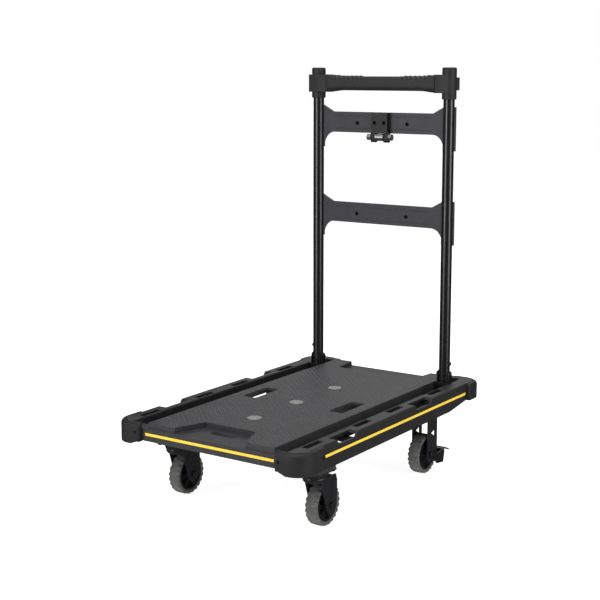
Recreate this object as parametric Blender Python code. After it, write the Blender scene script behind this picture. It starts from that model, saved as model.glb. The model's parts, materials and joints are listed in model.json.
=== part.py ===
"""Folding platform cart: a moulded deck on four casters with a fold-down tube handle.

Units are metres, +Z is up, +Y points to the handle end and the origin is on the floor
under the middle of the deck. Every piece is one object, named as it would be on a parts list.
"""
import bpy
import bmesh
from math import cos, pi, sin
from mathutils import Matrix, Vector

# ---------------------------------------------------------------- driving dimensions
CLEARANCE = 0.0003          # air left between two pieces that touch

DECK_LENGTH = 0.810         # front wall to rear wall
DECK_WIDTH = 0.510          # over the side rails
DECK_HEADROOM = 0.114       # deck top above the wheels
SKIN = 0.006                # deck top skin
WALL = 0.005                # deck and rail walls
RIB = 0.004                 # ribs under the deck
RIB_DEPTH = 0.036
RIB_X = 0.085
RIB_ROWS = (-0.200, 0.060, 0.200)
CORNER_RADIUS = 0.030       # deck corner under the bumper
PLATEAU_INSET = 0.009       # raised top back from the end walls
PLATEAU_SLOPE = 0.004       # how far its edge slopes out
LEDGE_DROP = 0.013          # end ledges below the top
CHANNEL_DROP = 0.019        # side channels below the top
CHANNEL_MARGIN = 0.001      # channel edges are shifted outwards this far from the pocket
END_WALL_DROP = 0.0425      # bottom of the end walls below the top
SIDE_WALL_DROP = 0.056      # bottom of the side walls below the top
EAR_LENGTH = 0.0327         # full-width ends of the deck, past the rails

POST_INSET_X = 0.059        # post centre in from the deck side
POST_INSET_Y = 0.069        # post centre in from the rear wall
POST_RADIUS = 0.0143
POST_WALL = 0.0015
POST_FOOT_DROP = 0.032      # foot of the post below its pivot
FOLD_GAP = 0.0005           # air between the folded handle and the deck
PIVOT_RADIUS = 0.004
HANDLE_RISE = 0.805         # handle top above the deck top

POCKET_DROP = 0.036         # post pocket floor below the top
POCKET_FRONT = 0.0915       # pocket ends, from the post centre
POCKET_REAR = 0.0475
POCKET_ROOM = 0.0031        # air between a hinge bracket and its pocket
POCKET_WALL = 0.003

HAND_SLOT_WIDTH = 0.039
HAND_SLOT_LENGTH = 0.105
HAND_SLOT_INSET = 0.049     # slot centre in from the plateau edge
HAND_SLOT_Y = -0.0275
SLOT_CORNER = 0.010
FINGER_SLOT_WIDTH = 0.071
FINGER_SLOT_LENGTH = 0.026
FINGER_SLOT_INSET = 0.062   # slot centre back from the front wall
RECESS_DEPTH = 0.085        # front recess, back from the front wall
RECESS_INSET_OUTER = 0.0715 # recess ends, in from the plateau edge
RECESS_INSET_INNER = 0.1055
REAR_RECESS_DEPTH = 0.088
REAR_RECESS_INSET_OUTER = 0.0505
REAR_RECESS_INSET_INNER = 0.0605
REAR_TOP_INSET = 0.010      # rear corner tops reach this far past the plateau edge

PAD_RADIUS = 0.0173
PAD_THICKNESS = 0.0022
PAD_SINK = 0.0015
PAD_PITCH = 0.172
PAD_MIDDLE_Y = -0.056

HANDHOLD_LENGTH = 0.086     # side grips through the rails
HANDHOLD_DROP = 0.012
HANDHOLD_WIDTH = 0.023      # from the outer face inwards
HANDHOLD_SLOPE = 0.008      # how far each end leans
RAIL_SWEEP = 0.012          # lower edge rises this much at the rear end
RAIL_SWEEP_LENGTH = 0.115
GRIP_FLOOR = 0.003          # floor of a side grip, level with the channel floor
GRIP_FLOOR_GAP = 0.024      # base of the drain hole in that floor
LASH_SLOT_LENGTH = 0.062    # tie-down slots beside the inner lip
LASH_SLOT_WIDTH = 0.016
LASH_SLOT_DROP = 0.013
RAIL_LIP = 0.004            # inner lip of the rail
RAIL_PATTERN_Y = -0.053     # middle of the slot pattern
RAIL_PATTERN_SHARE = (-0.864, -0.547, -0.229, 0.229, 0.547, 0.864)

STRIP_HEIGHT = 0.0065
STRIP_THICKNESS = 0.0012
STRIP_SINK = 0.0008
STRIP_DROP = 0.026          # strip centre below the top
STRIP_SIDE_FRONT = 0.086    # strip ends, from the end walls
STRIP_SIDE_REAR = 0.064
STRIP_FRONT_INSET = 0.074   # front strip ends, from the sides

BUMPER_THICKNESS = 0.011
BUMPER_END_THICKNESS = 0.013
BUMPER_RADIUS = 0.042
BUMPER_CROWN = 0.0042       # thickness left at the very top
BUMPER_CROWN_DROP = 0.009   # the outer face starts to round over this far below the top
BUMPER_END_CHAMFER = 0.003
BUMPER_HEIGHT = 0.044
BUMPER_FRONT_RUN = 0.065    # bumper ends, from the deck side and end wall
BUMPER_SIDE_RUN = 0.075
BUMPER_REAR_RUN = 0.060     # side run of the rear bumpers
TONGUE_RUN = 0.058          # hanging shield under each front bumper
TONGUE_TIP = 0.040
TONGUE_DROP = 0.007

WHEEL_RADIUS = 0.050
TREAD_WIDTH = 0.032
TYRE_DEPTH = 0.0115
HUB_WIDTH = 0.038
HUB_BOSS_RADIUS = 0.013
HUB_WEB = 0.010
AXLE_RADIUS = 0.005
AXLE_HEX = 0.0085           # half across the corners of head and nut
AXLE_HEAD = 0.005
FORK_GAUGE = 0.0035
FORK_CLEARANCE = 0.0012     # between hub and fork leg
CASTER_INSET_X = 0.058
FRONT_CASTER_INSET = 0.133  # kingpin back from the front wall
CASTER_TRAIL = 0.032
REAR_CASTER_INSET = 0.183   # rear axle in from the rear wall
PLATE_THICKNESS = 0.0035
PLATE_HALF_X = 0.036
PLATE_HALF_Y = 0.040
PLATE_CORNER = 0.008
BOSS_CORNER = 0.012
FRONT_HEADROOM = 0.0375     # top plate above the wheel
RACEWAY_RADIUS = 0.030
RACEWAY_HEIGHT = 0.014
CROWN_RADIUS = 0.027
CROWN_HEIGHT = 0.009
KINGPIN_RADIUS = 0.006
REAR_HEADROOM = 0.0575
FORK_FOOT = 0.018           # round foot of a front fork leg
REAR_FORK_FOOT = 0.017
REAR_LEG_REACH = 0.034      # rear leg edge behind the axle
WINDOW_RISE = 0.043         # triangular window above the rear axle
WINDOW_LENGTH = 0.020
WINDOW_HEIGHT = 0.019
BRAKE_PIVOT_Y = 0.020       # brake pedal pivot from the rear axle
BRAKE_PIVOT_DROP = 0.005
BRAKE_TYRE_GAP = 0.012      # pedal plate behind the tyre
BRAKE_TREAD = 0.040         # foot tread behind the pedal plate
BRAKE_GAUGE = 0.0025
BRAKE_PIN_RADIUS = 0.003

SLEEVE_WALL = 0.0041
SLEEVE_LENGTH = 0.080
SLEEVE_TOP = 0.006
NECK_WALL = 0.0017          # sleeve wall where an end block wraps it
GRIP_DROP = 0.041           # grip bar centre below the handle top
GRIP_HEIGHT = 0.036
GRIP_DEPTH = 0.032
GRIP_FLARE = 0.045          # length of each flared end of the bar
GRIP_END_HEIGHT = 0.046
GRIP_END_WALL = 0.0027      # end block wall in front of the sleeve neck
GRIP_END_BACK = 0.0047      # and behind it
GRIP_END_INNER = 0.036      # end block reach towards the middle
GRIP_END_OUTER = 0.004      # left end block reach outside its sleeve
GRIP_END_RIGHT = 0.0120     # right end block reach outwards: it half wraps the sleeve
TAIL_REACH = 0.0205         # latch tail behind the right sleeve
TAIL_FRONT = 0.004
TAIL_HEIGHT = 0.032

BRACE_HEIGHT = 0.054
BRACE_GAUGE = 0.006
BRACE_SETBACK = 0.0015      # brace face behind the post centre
BRACE_SHOULDER = 0.046      # flare starts this far inside the post
BRACE_FLARE_UP = 0.017
BRACE_FLARE_DOWN = 0.040
BRACE_WRAP = 0.0032         # wrap thickness round the post
UPPER_BRACE_DROP = 0.1425   # brace centres below the handle top
LOWER_BRACE_DROP = 0.382

HITCH_WIDTH = 0.048
HITCH_HEIGHT = 0.053
HITCH_DEPTH = 0.0145
HITCH_SCREW_PITCH = 0.028
HITCH_SCREW_RADIUS = 0.005
LUG_THICKNESS = 0.014
LUG_DROP = 0.0105           # hitch bolt axis below the block
LUG_TAIL = 0.024            # lugs reach this far below the block
LUG_CORNER = 0.005
LUG_INSET = 0.0012          # lugs back from the block's face
HITCH_BOLT_RADIUS = 0.004
HITCH_BOLT_HEX = 0.009
HITCH_SPACER_RADIUS = 0.0098
HITCH_HEAD = 0.009
HITCH_NUT = 0.011

LOCK_RISE = 0.048           # lock button above the deck top
LOCK_RADIUS = 0.005
LOCK_PROUD = 0.0045
LOCK_FLANGE = 0.0065
BRACKET_GAUGE = 0.0025
BRACKET_CLEARANCE = 0.0006
BRACKET_HALF_DEPTH = 0.009
BOLT_HEAD_RADIUS = 0.0062
BOLT_HEAD_HEIGHT = 0.0032

# ---------------------------------------------------------------- places worked out
DECK_HEIGHT = 2 * WHEEL_RADIUS + DECK_HEADROOM
HALF_W = DECK_WIDTH / 2
HALF_L = DECK_LENGTH / 2
SLEEVE_RADIUS = POST_RADIUS + SLEEVE_WALL
SLEEVE_NECK = POST_RADIUS + NECK_WALL
GRIP_END_FRONT = SLEEVE_NECK + CLEARANCE + GRIP_END_WALL
GRIP_END_REAR = SLEEVE_NECK + CLEARANCE + GRIP_END_BACK
GRIP_END_LEFT = SLEEVE_RADIUS + GRIP_END_OUTER
PIVOT_RISE = max(GRIP_END_FRONT, SLEEVE_RADIUS) + FOLD_GAP
POCKET_HALF = POST_RADIUS + BRACKET_CLEARANCE + BRACKET_GAUGE + POCKET_ROOM
CHANNEL_INNER = POCKET_HALF - CHANNEL_MARGIN
CHANNEL_OUTER = POCKET_HALF + CHANNEL_MARGIN
POST_X = HALF_W - POST_INSET_X
POST_Y = HALF_L - POST_INSET_Y
PIVOT_Z = DECK_HEIGHT + PIVOT_RISE
HANDLE_TOP = DECK_HEIGHT + HANDLE_RISE
RAIL_Y = HALF_L - EAR_LENGTH
RAIL_INNER_X = POST_X + CHANNEL_OUTER + CLEARANCE
PLATEAU_X = POST_X - CHANNEL_INNER
HAND_SLOT_X = PLATEAU_X - HAND_SLOT_INSET
FRONT_PLATE_TOP = 2 * WHEEL_RADIUS + FRONT_HEADROOM
REAR_PLATE_TOP = 2 * WHEEL_RADIUS + REAR_HEADROOM
CASTER_X = HALF_W - CASTER_INSET_X
FRONT_KINGPIN_Y = FRONT_CASTER_INSET - HALF_L
FRONT_AXLE_Y = FRONT_KINGPIN_Y + CASTER_TRAIL
REAR_AXLE_Y = HALF_L - REAR_CASTER_INSET
HUB_RADIUS = WHEEL_RADIUS - TYRE_DEPTH
LEG_INNER = HUB_WIDTH / 2 + FORK_CLEARANCE
LEG_OUTER = LEG_INNER + FORK_GAUGE
BRACE_Y = POST_Y + BRACE_SETBACK
SIDES = (("left", -1), ("right", 1))
DEEP = 0.30                 # length of a cutter that must pass right through


# ---------------------------------------------------------------- materials
def material(name, colour, roughness, metallic=0.0):
    """A plain Principled material."""
    found = bpy.data.materials.get(name)
    if found:
        return found
    made = bpy.data.materials.new(name)
    made.use_nodes = True
    made.diffuse_color = (*colour, 1.0)
    shader = made.node_tree.nodes["Principled BSDF"]
    shader.inputs["Base Color"].default_value = (*colour, 1.0)
    shader.inputs["Roughness"].default_value = roughness
    shader.inputs["Metallic"].default_value = metallic
    return made


FINISHES = {
    "deck_plastic": ((0.070, 0.070, 0.074), 0.62, 0.0),
    "rail_plastic": ((0.045, 0.045, 0.047), 0.55, 0.0),
    "bumper_rubber": ((0.035, 0.035, 0.036), 0.70, 0.0),
    "yellow_strip": ((0.95, 0.66, 0.04), 0.45, 0.0),
    "pale_pad": ((0.50, 0.50, 0.48), 0.60, 0.0),
    "black_tube": ((0.012, 0.012, 0.013), 0.22, 0.6),
    "black_steel": ((0.018, 0.018, 0.019), 0.40, 0.5),
    "grip_plastic": ((0.032, 0.032, 0.034), 0.58, 0.0),
    "brace_steel": ((0.075, 0.075, 0.082), 0.48, 0.3),
    "zinc": ((0.62, 0.62, 0.60), 0.32, 1.0),
    "fork_steel": ((0.040, 0.040, 0.043), 0.42, 0.4),
    "hub_plastic": ((0.020, 0.020, 0.021), 0.50, 0.0),
    "tyre_rubber": ((0.115, 0.115, 0.110), 0.80, 0.0),
}


# ---------------------------------------------------------------- outlines
def arc(centre, radius, start, end, steps):
    """Points on a circle from angle start to end, both included."""
    points = []
    for step in range(steps + 1):
        angle = start + (end - start) * step / steps
        points.append((centre[0] + radius * cos(angle), centre[1] + radius * sin(angle)))
    return points


def circle(centre, radius, steps):
    """A closed ring of points, counter-clockwise."""
    return arc(centre, radius, 0.0, 2 * pi * (steps - 1) / steps, steps - 1)


def rounded_box(low, high, radius, steps=4):
    """A rectangle with round corners, counter-clockwise."""
    corners = (
        ((high[0] - radius, low[1] + radius), -pi / 2),
        ((high[0] - radius, high[1] - radius), 0.0),
        ((low[0] + radius, high[1] - radius), pi / 2),
        ((low[0] + radius, low[1] + radius), pi),
    )
    points = []
    for centre, start in corners:
        points += arc(centre, radius, start, start + pi / 2, steps)
    return points


def box_outline(low, high):
    """A plain rectangle, counter-clockwise."""
    return [(low[0], low[1]), (high[0], low[1]), (high[0], high[1]), (low[0], high[1])]


# ---------------------------------------------------------------- solids
AXES = {
    "x": lambda u, v, w: (w, u, v),
    "y": lambda u, v, w: (u, w, v),
    "z": lambda u, v, w: (u, v, w),
}


def add_prism(mesh, outline, axis, low, high, top=None):
    """Add an outline swept along an axis; a different top outline makes it taper."""
    place = AXES[axis]
    lower = [mesh.verts.new(place(u, v, low)) for u, v in outline]
    upper = [mesh.verts.new(place(u, v, high)) for u, v in (top or outline)]
    count = len(outline)
    mesh.faces.new(lower)
    mesh.faces.new(upper)
    for index in range(count):
        follow = (index + 1) % count
        mesh.faces.new((lower[index], lower[follow], upper[follow], upper[index]))


def prism(outline, axis, low, high, top=None):
    """A new mesh that holds one prism."""
    mesh = bmesh.new()
    add_prism(mesh, outline, axis, low, high, top)
    return mesh


def block(low, high):
    """A plain box between two corners."""
    return prism(box_outline(low[:2], high[:2]), "z", low[2], high[2])


def turned(profile, steps):
    """Spin a closed profile of (radius, along) points round Z."""
    mesh = bmesh.new()
    rings = []
    for radius, along in profile:
        if radius < 1e-7:
            rings.append([mesh.verts.new((0.0, 0.0, along))])
            continue
        rings.append([mesh.verts.new((u, v, along)) for u, v in circle((0, 0), radius, steps)])
    count = len(rings)
    for index in range(count):
        first, second = rings[index], rings[(index + 1) % count]
        if len(first) == 1 and len(second) == 1:
            continue
        for step in range(steps):
            follow = (step + 1) % steps
            corners = [
                first[step % len(first)], first[follow % len(first)],
                second[follow % len(second)], second[step % len(second)],
            ]
            mesh.faces.new(list(dict.fromkeys(corners)))
    return mesh


def bridge(mesh, rings):
    """Close a row of matching rings into one skin with flat ends."""
    count = len(rings[0])
    mesh.faces.new(rings[0])
    mesh.faces.new(rings[-1])
    for first, second in zip(rings, rings[1:]):
        for index in range(count):
            follow = (index + 1) % count
            mesh.faces.new((first[index], first[follow], second[follow], second[index]))


def lofted(outlines, stations):
    """Skin a row of matching (y, z) outlines along X."""
    mesh = bmesh.new()
    rings = [[mesh.verts.new((x, y, z)) for y, z in outline]
             for outline, x in zip(outlines, stations)]
    bridge(mesh, rings)
    return mesh


def lay_along_x(mesh):
    """Turn a mesh made round Z so that it lies along X."""
    bmesh.ops.rotate(mesh, verts=mesh.verts, matrix=Matrix.Rotation(pi / 2, 3, "Y"))
    return mesh


def moved(mesh, offset):
    """Shift a whole mesh."""
    bmesh.ops.translate(mesh, verts=mesh.verts, vec=Vector(offset))
    return mesh


def to_object(name, mesh, offset=(0, 0, 0)):
    """Close a bmesh into an object, with its faces pointing out."""
    bmesh.ops.recalc_face_normals(mesh, faces=mesh.faces)
    data = bpy.data.meshes.new(name)
    mesh.to_mesh(data)
    mesh.free()
    made = bpy.data.objects.new(name, data)
    made.location = offset
    bpy.context.scene.collection.objects.link(made)
    return made


def piece(name, mesh, finish, origin=(0, 0, 0), parent=None, smooth=40):
    """Make a named piece whose object origin is at the given world point."""
    moved(mesh, -Vector(origin))
    made = to_object(name, mesh, origin)
    made.data.materials.append(material(finish, *FINISHES[finish]))
    made.data.shade_smooth()
    made.data.set_sharp_from_angle(angle=smooth * pi / 180)
    if parent:
        attach(made, parent)
    return made


def attach(child, parent):
    """Parent a piece and keep it where it stands."""
    child.parent = parent
    child.location = Vector(child.location) - world_place(parent)


def world_place(item):
    """Where an unrotated object stands, through all its parents."""
    place = Vector(item.location)
    while item.parent:
        item = item.parent
        place += Vector(item.location)
    return place


def pivot(name, place, parent=None):
    """An empty on a joint's axis."""
    empty = bpy.data.objects.new(name, None)
    empty.location = place
    bpy.context.scene.collection.objects.link(empty)
    if parent:
        attach(empty, parent)
    return empty


def combine(target, mesh, operation):
    """Cut a mesh out of a piece, or weld it on, with an exact Boolean."""
    tool = to_object(target.name + "_tool", mesh)
    tool.hide_render = True
    tool.display_type = "WIRE"
    attach(tool, target)
    step = target.modifiers.new(operation.lower(), "BOOLEAN")
    step.operation = operation
    step.solver = "EXACT"
    step.object = tool
    return target


def cut(target, mesh):
    return combine(target, mesh, "DIFFERENCE")


def weld(target, mesh):
    return combine(target, mesh, "UNION")


# ---------------------------------------------------------------- deck
def deck_plan():
    """Plan of the deck: full width at both ends, narrow between the rails."""
    inner = POST_X + CHANNEL_OUTER
    right = [(inner, -RAIL_Y), (HALF_W, -RAIL_Y)]
    right_front = arc(
        (HALF_W - CORNER_RADIUS, CORNER_RADIUS - HALF_L), CORNER_RADIUS, 0.0, -pi / 2, 5)
    front_right = right + right_front
    outline = list(reversed(front_right))
    outline += [(u, -v) for u, v in front_right]
    outline += [(-u, -v) for u, v in reversed(front_right)]
    outline += [(-u, v) for u, v in front_right]
    return outline


def add_recess(deck, sign, depth, outer_inset, inner_inset):
    """A tapered recess in the top, open to the end of the deck."""
    outer = PLATEAU_X - outer_inset
    inner = PLATEAU_X - inner_inset
    wall = sign * (HALF_L - depth)
    end = sign * (HALF_L + WALL)
    outline = [(-outer, end), (-inner, wall), (inner, wall), (outer, end)]
    cut(deck, prism(outline, "z", DECK_HEIGHT - LEDGE_DROP, DECK_HEIGHT + WALL))


def make_deck():
    top = DECK_HEIGHT
    ledge = top - LEDGE_DROP
    floor = top - CHANNEL_DROP
    channel_in = PLATEAU_X
    channel_out = POST_X + CHANNEL_OUTER
    deck = piece("deck", prism(deck_plan(), "z", top - END_WALL_DROP, ledge), "deck_plastic")
    channels = bmesh.new()
    for side in (-1, 1):
        ends = sorted((side * (channel_in - PLATEAU_SLOPE), side * (channel_out + WALL)))
        add_prism(channels, box_outline((ends[0], -RAIL_Y), (ends[1], RAIL_Y)),
                  "z", floor, top + WALL)
    cut(deck, channels)
    plateau_y = HALF_L - PLATEAU_INSET
    base = box_outline((-channel_in - PLATEAU_SLOPE, -plateau_y - PLATEAU_SLOPE),
                       (channel_in + PLATEAU_SLOPE, plateau_y + PLATEAU_SLOPE))
    crown = box_outline((-channel_in, -plateau_y), (channel_in, plateau_y))
    weld(deck, prism(base, "z", floor - WALL / 2, top, crown))
    inside = rounded_box((WALL - HALF_W, WALL - HALF_L), (HALF_W - WALL, HALF_L - WALL),
                         CORNER_RADIUS - WALL)
    cut(deck, prism(inside, "z", 0.0, floor - WALL))
    hollow_y = HALF_L - RECESS_DEPTH - WALL - PLATEAU_SLOPE
    cut(deck, block((-channel_in + SKIN, -hollow_y, 0.0), (channel_in - SKIN, hollow_y, top - SKIN)))
    for side in (-1, 1):
        rib = bmesh.new()
        x = side * RIB_X
        add_prism(rib, box_outline((x - RIB / 2, -hollow_y - WALL), (x + RIB / 2, hollow_y + WALL)),
                  "z", top - RIB_DEPTH, top - SKIN / 2)
        weld(deck, rib)
    for y in RIB_ROWS:
        weld(deck, block((-channel_in + SKIN / 2, y - RIB / 2, top - RIB_DEPTH + RIB),
                         (channel_in - SKIN / 2, y + RIB / 2, top - SKIN / 2)))
    add_corner_tops(deck)
    add_bosses(deck)
    add_recess(deck, -1, RECESS_DEPTH, RECESS_INSET_OUTER, RECESS_INSET_INNER)
    add_recess(deck, 1, REAR_RECESS_DEPTH, REAR_RECESS_INSET_OUTER, REAR_RECESS_INSET_INNER)
    add_pockets(deck)
    add_hand_slots(deck)
    groove = block((-strip_half(), -HALF_L - WALL, strip_z() - STRIP_HEIGHT / 2 - CLEARANCE),
                   (strip_half(), -HALF_L + STRIP_SINK, strip_z() + STRIP_HEIGHT / 2 + CLEARANCE))
    cut(deck, groove)
    seats = bmesh.new()
    for y in pad_rows():
        add_prism(seats, circle((0, y), PAD_RADIUS + CLEARANCE, 32), "z", top - PAD_SINK, top + WALL)
    cut(deck, seats)
    return deck


def strip_z():
    return DECK_HEIGHT - STRIP_DROP


def strip_half():
    """Half length of the front groove."""
    return HALF_W - STRIP_FRONT_INSET + CLEARANCE


def pad_rows():
    return [PAD_MIDDLE_Y + row * PAD_PITCH for row in (-1, 0, 1)]


def add_corner_tops(deck):
    """Flat tops level with the plateau at the four corners; the rear ones frame the post pockets."""
    corner = arc((HALF_W - CORNER_RADIUS, CORNER_RADIUS - HALF_L), CORNER_RADIUS, 0.0, -pi / 2, 5)
    tops = bmesh.new()
    for end, inner in ((-1, POST_X + CHANNEL_OUTER), (1, PLATEAU_X - REAR_TOP_INSET)):
        for side in (-1, 1):
            outline = [(inner, -RAIL_Y), (HALF_W, -RAIL_Y)] + corner + [(inner, -HALF_L)]
            add_prism(tops, placed(outline, side, end), "z",
                      DECK_HEIGHT - LEDGE_DROP - 0.002, DECK_HEIGHT)
    weld(deck, tops)


def add_bosses(deck):
    """Solid feet under the deck that the casters bolt to."""
    under = DECK_HEIGHT - CHANNEL_DROP - WALL / 2
    rows = ((FRONT_KINGPIN_Y, FRONT_PLATE_TOP), (REAR_AXLE_Y, REAR_PLATE_TOP))
    for side in (-1, 1):
        for y, plate_top in rows:
            weld(deck, prism(plate_outline(side * CASTER_X, y, BOSS_CORNER), "z",
                             plate_top + CLEARANCE, under))


def plate_outline(x, y, corner):
    """Plan of a caster's top plate and of the foot above it."""
    return rounded_box((x - PLATE_HALF_X, y - PLATE_HALF_Y), (x + PLATE_HALF_X, y + PLATE_HALF_Y), corner)


def add_pockets(deck):
    """Deep pockets that hold the post hinges."""
    floor = DECK_HEIGHT - POCKET_DROP
    under = DECK_HEIGHT - CHANNEL_DROP - WALL / 2
    front = POST_Y - POCKET_FRONT
    rear = POST_Y + POCKET_REAR
    for side in (-1, 1):
        x = side * POST_X
        half = POCKET_HALF
        weld(deck, block((x - half - POCKET_WALL / 3, front - POCKET_WALL, floor - POCKET_WALL),
                         (x + half + POCKET_WALL / 3, rear + POCKET_WALL, under)))
        cut(deck, block((x - half, front, floor), (x + half, rear, DECK_HEIGHT + WALL)))


def add_hand_slots(deck):
    """The two long hand slots and the finger slot in the front recess."""
    slots = bmesh.new()
    for side in (-1, 1):
        x = side * HAND_SLOT_X
        low = (x - HAND_SLOT_WIDTH / 2, HAND_SLOT_Y - HAND_SLOT_LENGTH / 2)
        high = (x + HAND_SLOT_WIDTH / 2, HAND_SLOT_Y + HAND_SLOT_LENGTH / 2)
        add_prism(slots, rounded_box(low, high, SLOT_CORNER), "z", 0.0, DECK_HEIGHT + WALL)
    y = FINGER_SLOT_INSET - HALF_L
    low = (-FINGER_SLOT_WIDTH / 2, y - FINGER_SLOT_LENGTH / 2)
    high = (FINGER_SLOT_WIDTH / 2, y + FINGER_SLOT_LENGTH / 2)
    add_prism(slots, rounded_box(low, high, SLOT_CORNER), "z", 0.0, DECK_HEIGHT + WALL)
    cut(deck, slots)


def make_pads():
    for name, y in zip(("front", "middle", "rear"), pad_rows()):
        base = DECK_HEIGHT - PAD_SINK + CLEARANCE
        edge = PAD_THICKNESS / 4
        profile = [(0, base), (PAD_RADIUS, base), (PAD_RADIUS, base + PAD_THICKNESS - edge),
                   (PAD_RADIUS - edge, base + PAD_THICKNESS), (0, base + PAD_THICKNESS)]
        piece(f"pad_{name}", moved(turned(profile, 32), (0, y, 0)), "pale_pad")


# ---------------------------------------------------------------- side rails and strips
def rail_section():
    """Inverted channel: outer wall, flat top and a short inner lip."""
    top = DECK_HEIGHT
    return [
        (HALF_W, top - SIDE_WALL_DROP), (HALF_W, top - 0.002), (HALF_W - 0.002, top),
        (RAIL_INNER_X + 0.002, top), (RAIL_INNER_X, top - 0.002),
        (RAIL_INNER_X, top - CHANNEL_DROP + CLEARANCE),
        (RAIL_INNER_X + RAIL_LIP, top - CHANNEL_DROP + CLEARANCE),
        (RAIL_INNER_X + RAIL_LIP, top - SKIN), (HALF_W - WALL, top - SKIN),
        (HALF_W - WALL, top - SIDE_WALL_DROP),
    ]


def rail_features():
    """Centres of the six openings along a rail: slot, grip, slot, slot, grip, slot."""
    half_run = RAIL_Y - abs(RAIL_PATTERN_Y)
    kinds = ("slot", "grip", "slot", "slot", "grip", "slot")
    return [(kind, RAIL_PATTERN_Y + share * half_run)
            for kind, share in zip(kinds, RAIL_PATTERN_SHARE)]


def make_rails():
    top = DECK_HEIGHT
    rail_end = RAIL_Y - CLEARANCE
    for name, side in SIDES:
        section = [(side * x, z) for x, z in rail_section()]
        rail = piece(f"side_rail_{name}", prism(section, "y", -rail_end, rail_end), "rail_plastic")
        openings = bmesh.new()
        for kind, y in rail_features():
            if kind == "grip":
                inner, outer = HALF_W - HANDHOLD_WIDTH, HALF_W + WALL
                half, bottom = HANDHOLD_LENGTH / 2 - HANDHOLD_SLOPE, top - HANDHOLD_DROP
            else:
                inner = RAIL_INNER_X + RAIL_LIP
                outer = inner + LASH_SLOT_WIDTH
                half, bottom = LASH_SLOT_LENGTH / 2, top - LASH_SLOT_DROP
            ends = sorted((side * inner, side * outer))
            lean = HANDHOLD_SLOPE if kind == "grip" else 0.001
            outline = [(y - half, bottom), (y + half, bottom),
                       (y + half + lean * 1.5, top + WALL), (y - half - lean * 1.5, top + WALL)]
            add_prism(openings, outline, "x", *ends)
        cut(rail, openings)
        weld(rail, grip_floors(side))
        low = top - SIDE_WALL_DROP
        sweep = [(rail_end - RAIL_SWEEP_LENGTH, low - WALL), (rail_end + WALL, low - WALL),
                 (rail_end + WALL, low + RAIL_SWEEP),
                 (rail_end - RAIL_SWEEP_LENGTH * 0.2, low + RAIL_SWEEP),
                 (rail_end - RAIL_SWEEP_LENGTH, low)]
        cut(rail, prism(sweep, "x", *sorted((side * (HALF_W - 2 * WALL), side * (HALF_W + WALL)))))
        groove_x = sorted((side * (HALF_W - STRIP_SINK), side * (HALF_W + WALL)))
        cut(rail, block((groove_x[0], STRIP_SIDE_FRONT - HALF_L - CLEARANCE,
                         strip_z() - STRIP_HEIGHT / 2 - CLEARANCE),
                        (groove_x[1], HALF_L - STRIP_SIDE_REAR + CLEARANCE,
                         strip_z() + STRIP_HEIGHT / 2 + CLEARANCE)))


def grip_floors(side):
    """Floor under each side grip, in two halves with a three-cornered drain hole between them."""
    inner = side * (RAIL_INNER_X + RAIL_LIP / 2)
    outer = side * (HALF_W - WALL / 2)
    high = DECK_HEIGHT - CHANNEL_DROP + GRIP_FLOOR / 2
    floors = bmesh.new()
    for kind, y in rail_features():
        if kind != "grip":
            continue
        for end in (-1, 1):
            far = y + end * (HANDHOLD_LENGTH / 2 + WALL)
            outline = [(inner, far), (inner, y + end * GRIP_FLOOR_GAP / 2),
                       (outer, y + end * CLEARANCE), (outer, far)]
            add_prism(floors, outline, "z", high - GRIP_FLOOR, high)
    return floors


def make_strips():
    low = strip_z() - STRIP_HEIGHT / 2
    high = strip_z() + STRIP_HEIGHT / 2
    inner = HALF_W - STRIP_SINK + CLEARANCE
    for name, side in SIDES:
        ends = sorted((side * inner, side * (inner + STRIP_THICKNESS)))
        piece(f"strip_{name}", block((ends[0], STRIP_SIDE_FRONT - HALF_L, low),
                                     (ends[1], HALF_L - STRIP_SIDE_REAR, high)), "yellow_strip")
    back = STRIP_SINK - CLEARANCE - HALF_L
    half = HALF_W - STRIP_FRONT_INSET
    piece("strip_front", block((-half, back - STRIP_THICKNESS, low), (half, back, high)),
          "yellow_strip")


# ---------------------------------------------------------------- bumpers
def bumper_plan(run_front, run_side, share=1.0, steps=8):
    """L-shaped plan that wraps the front right corner; share 0 is the thin crown."""
    outer_x = HALF_W + BUMPER_CROWN + share * (BUMPER_THICKNESS - BUMPER_CROWN)
    outer_y = -HALF_L - BUMPER_CROWN - share * (BUMPER_END_THICKNESS - BUMPER_CROWN)
    inner_radius = CORNER_RADIUS + CLEARANCE
    inner_centre = (HALF_W - CORNER_RADIUS, CORNER_RADIUS - HALF_L)
    outer_centre = (outer_x - BUMPER_RADIUS, outer_y + BUMPER_RADIUS)
    chamfer = BUMPER_END_CHAMFER
    start = (HALF_W - run_front, outer_y + chamfer)
    outline = [start, (start[0] + chamfer, outer_y)]
    outline += arc(outer_centre, BUMPER_RADIUS, -pi / 2, 0.0, steps)
    outline += [(outer_x, run_side - HALF_L - chamfer), (outer_x - chamfer, run_side - HALF_L)]
    outline += [(HALF_W + CLEARANCE, run_side - HALF_L)]
    outline += arc(inner_centre, inner_radius, 0.0, -pi / 2, steps)
    outline += [(HALF_W - run_front, -HALF_L - CLEARANCE)]
    return outline


def placed(outline, side, end):
    """Mirror a front right outline to one of the four corners."""
    points = [(side * u, -end * v) for u, v in outline]
    return points if side * end < 0 else list(reversed(points))


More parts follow.
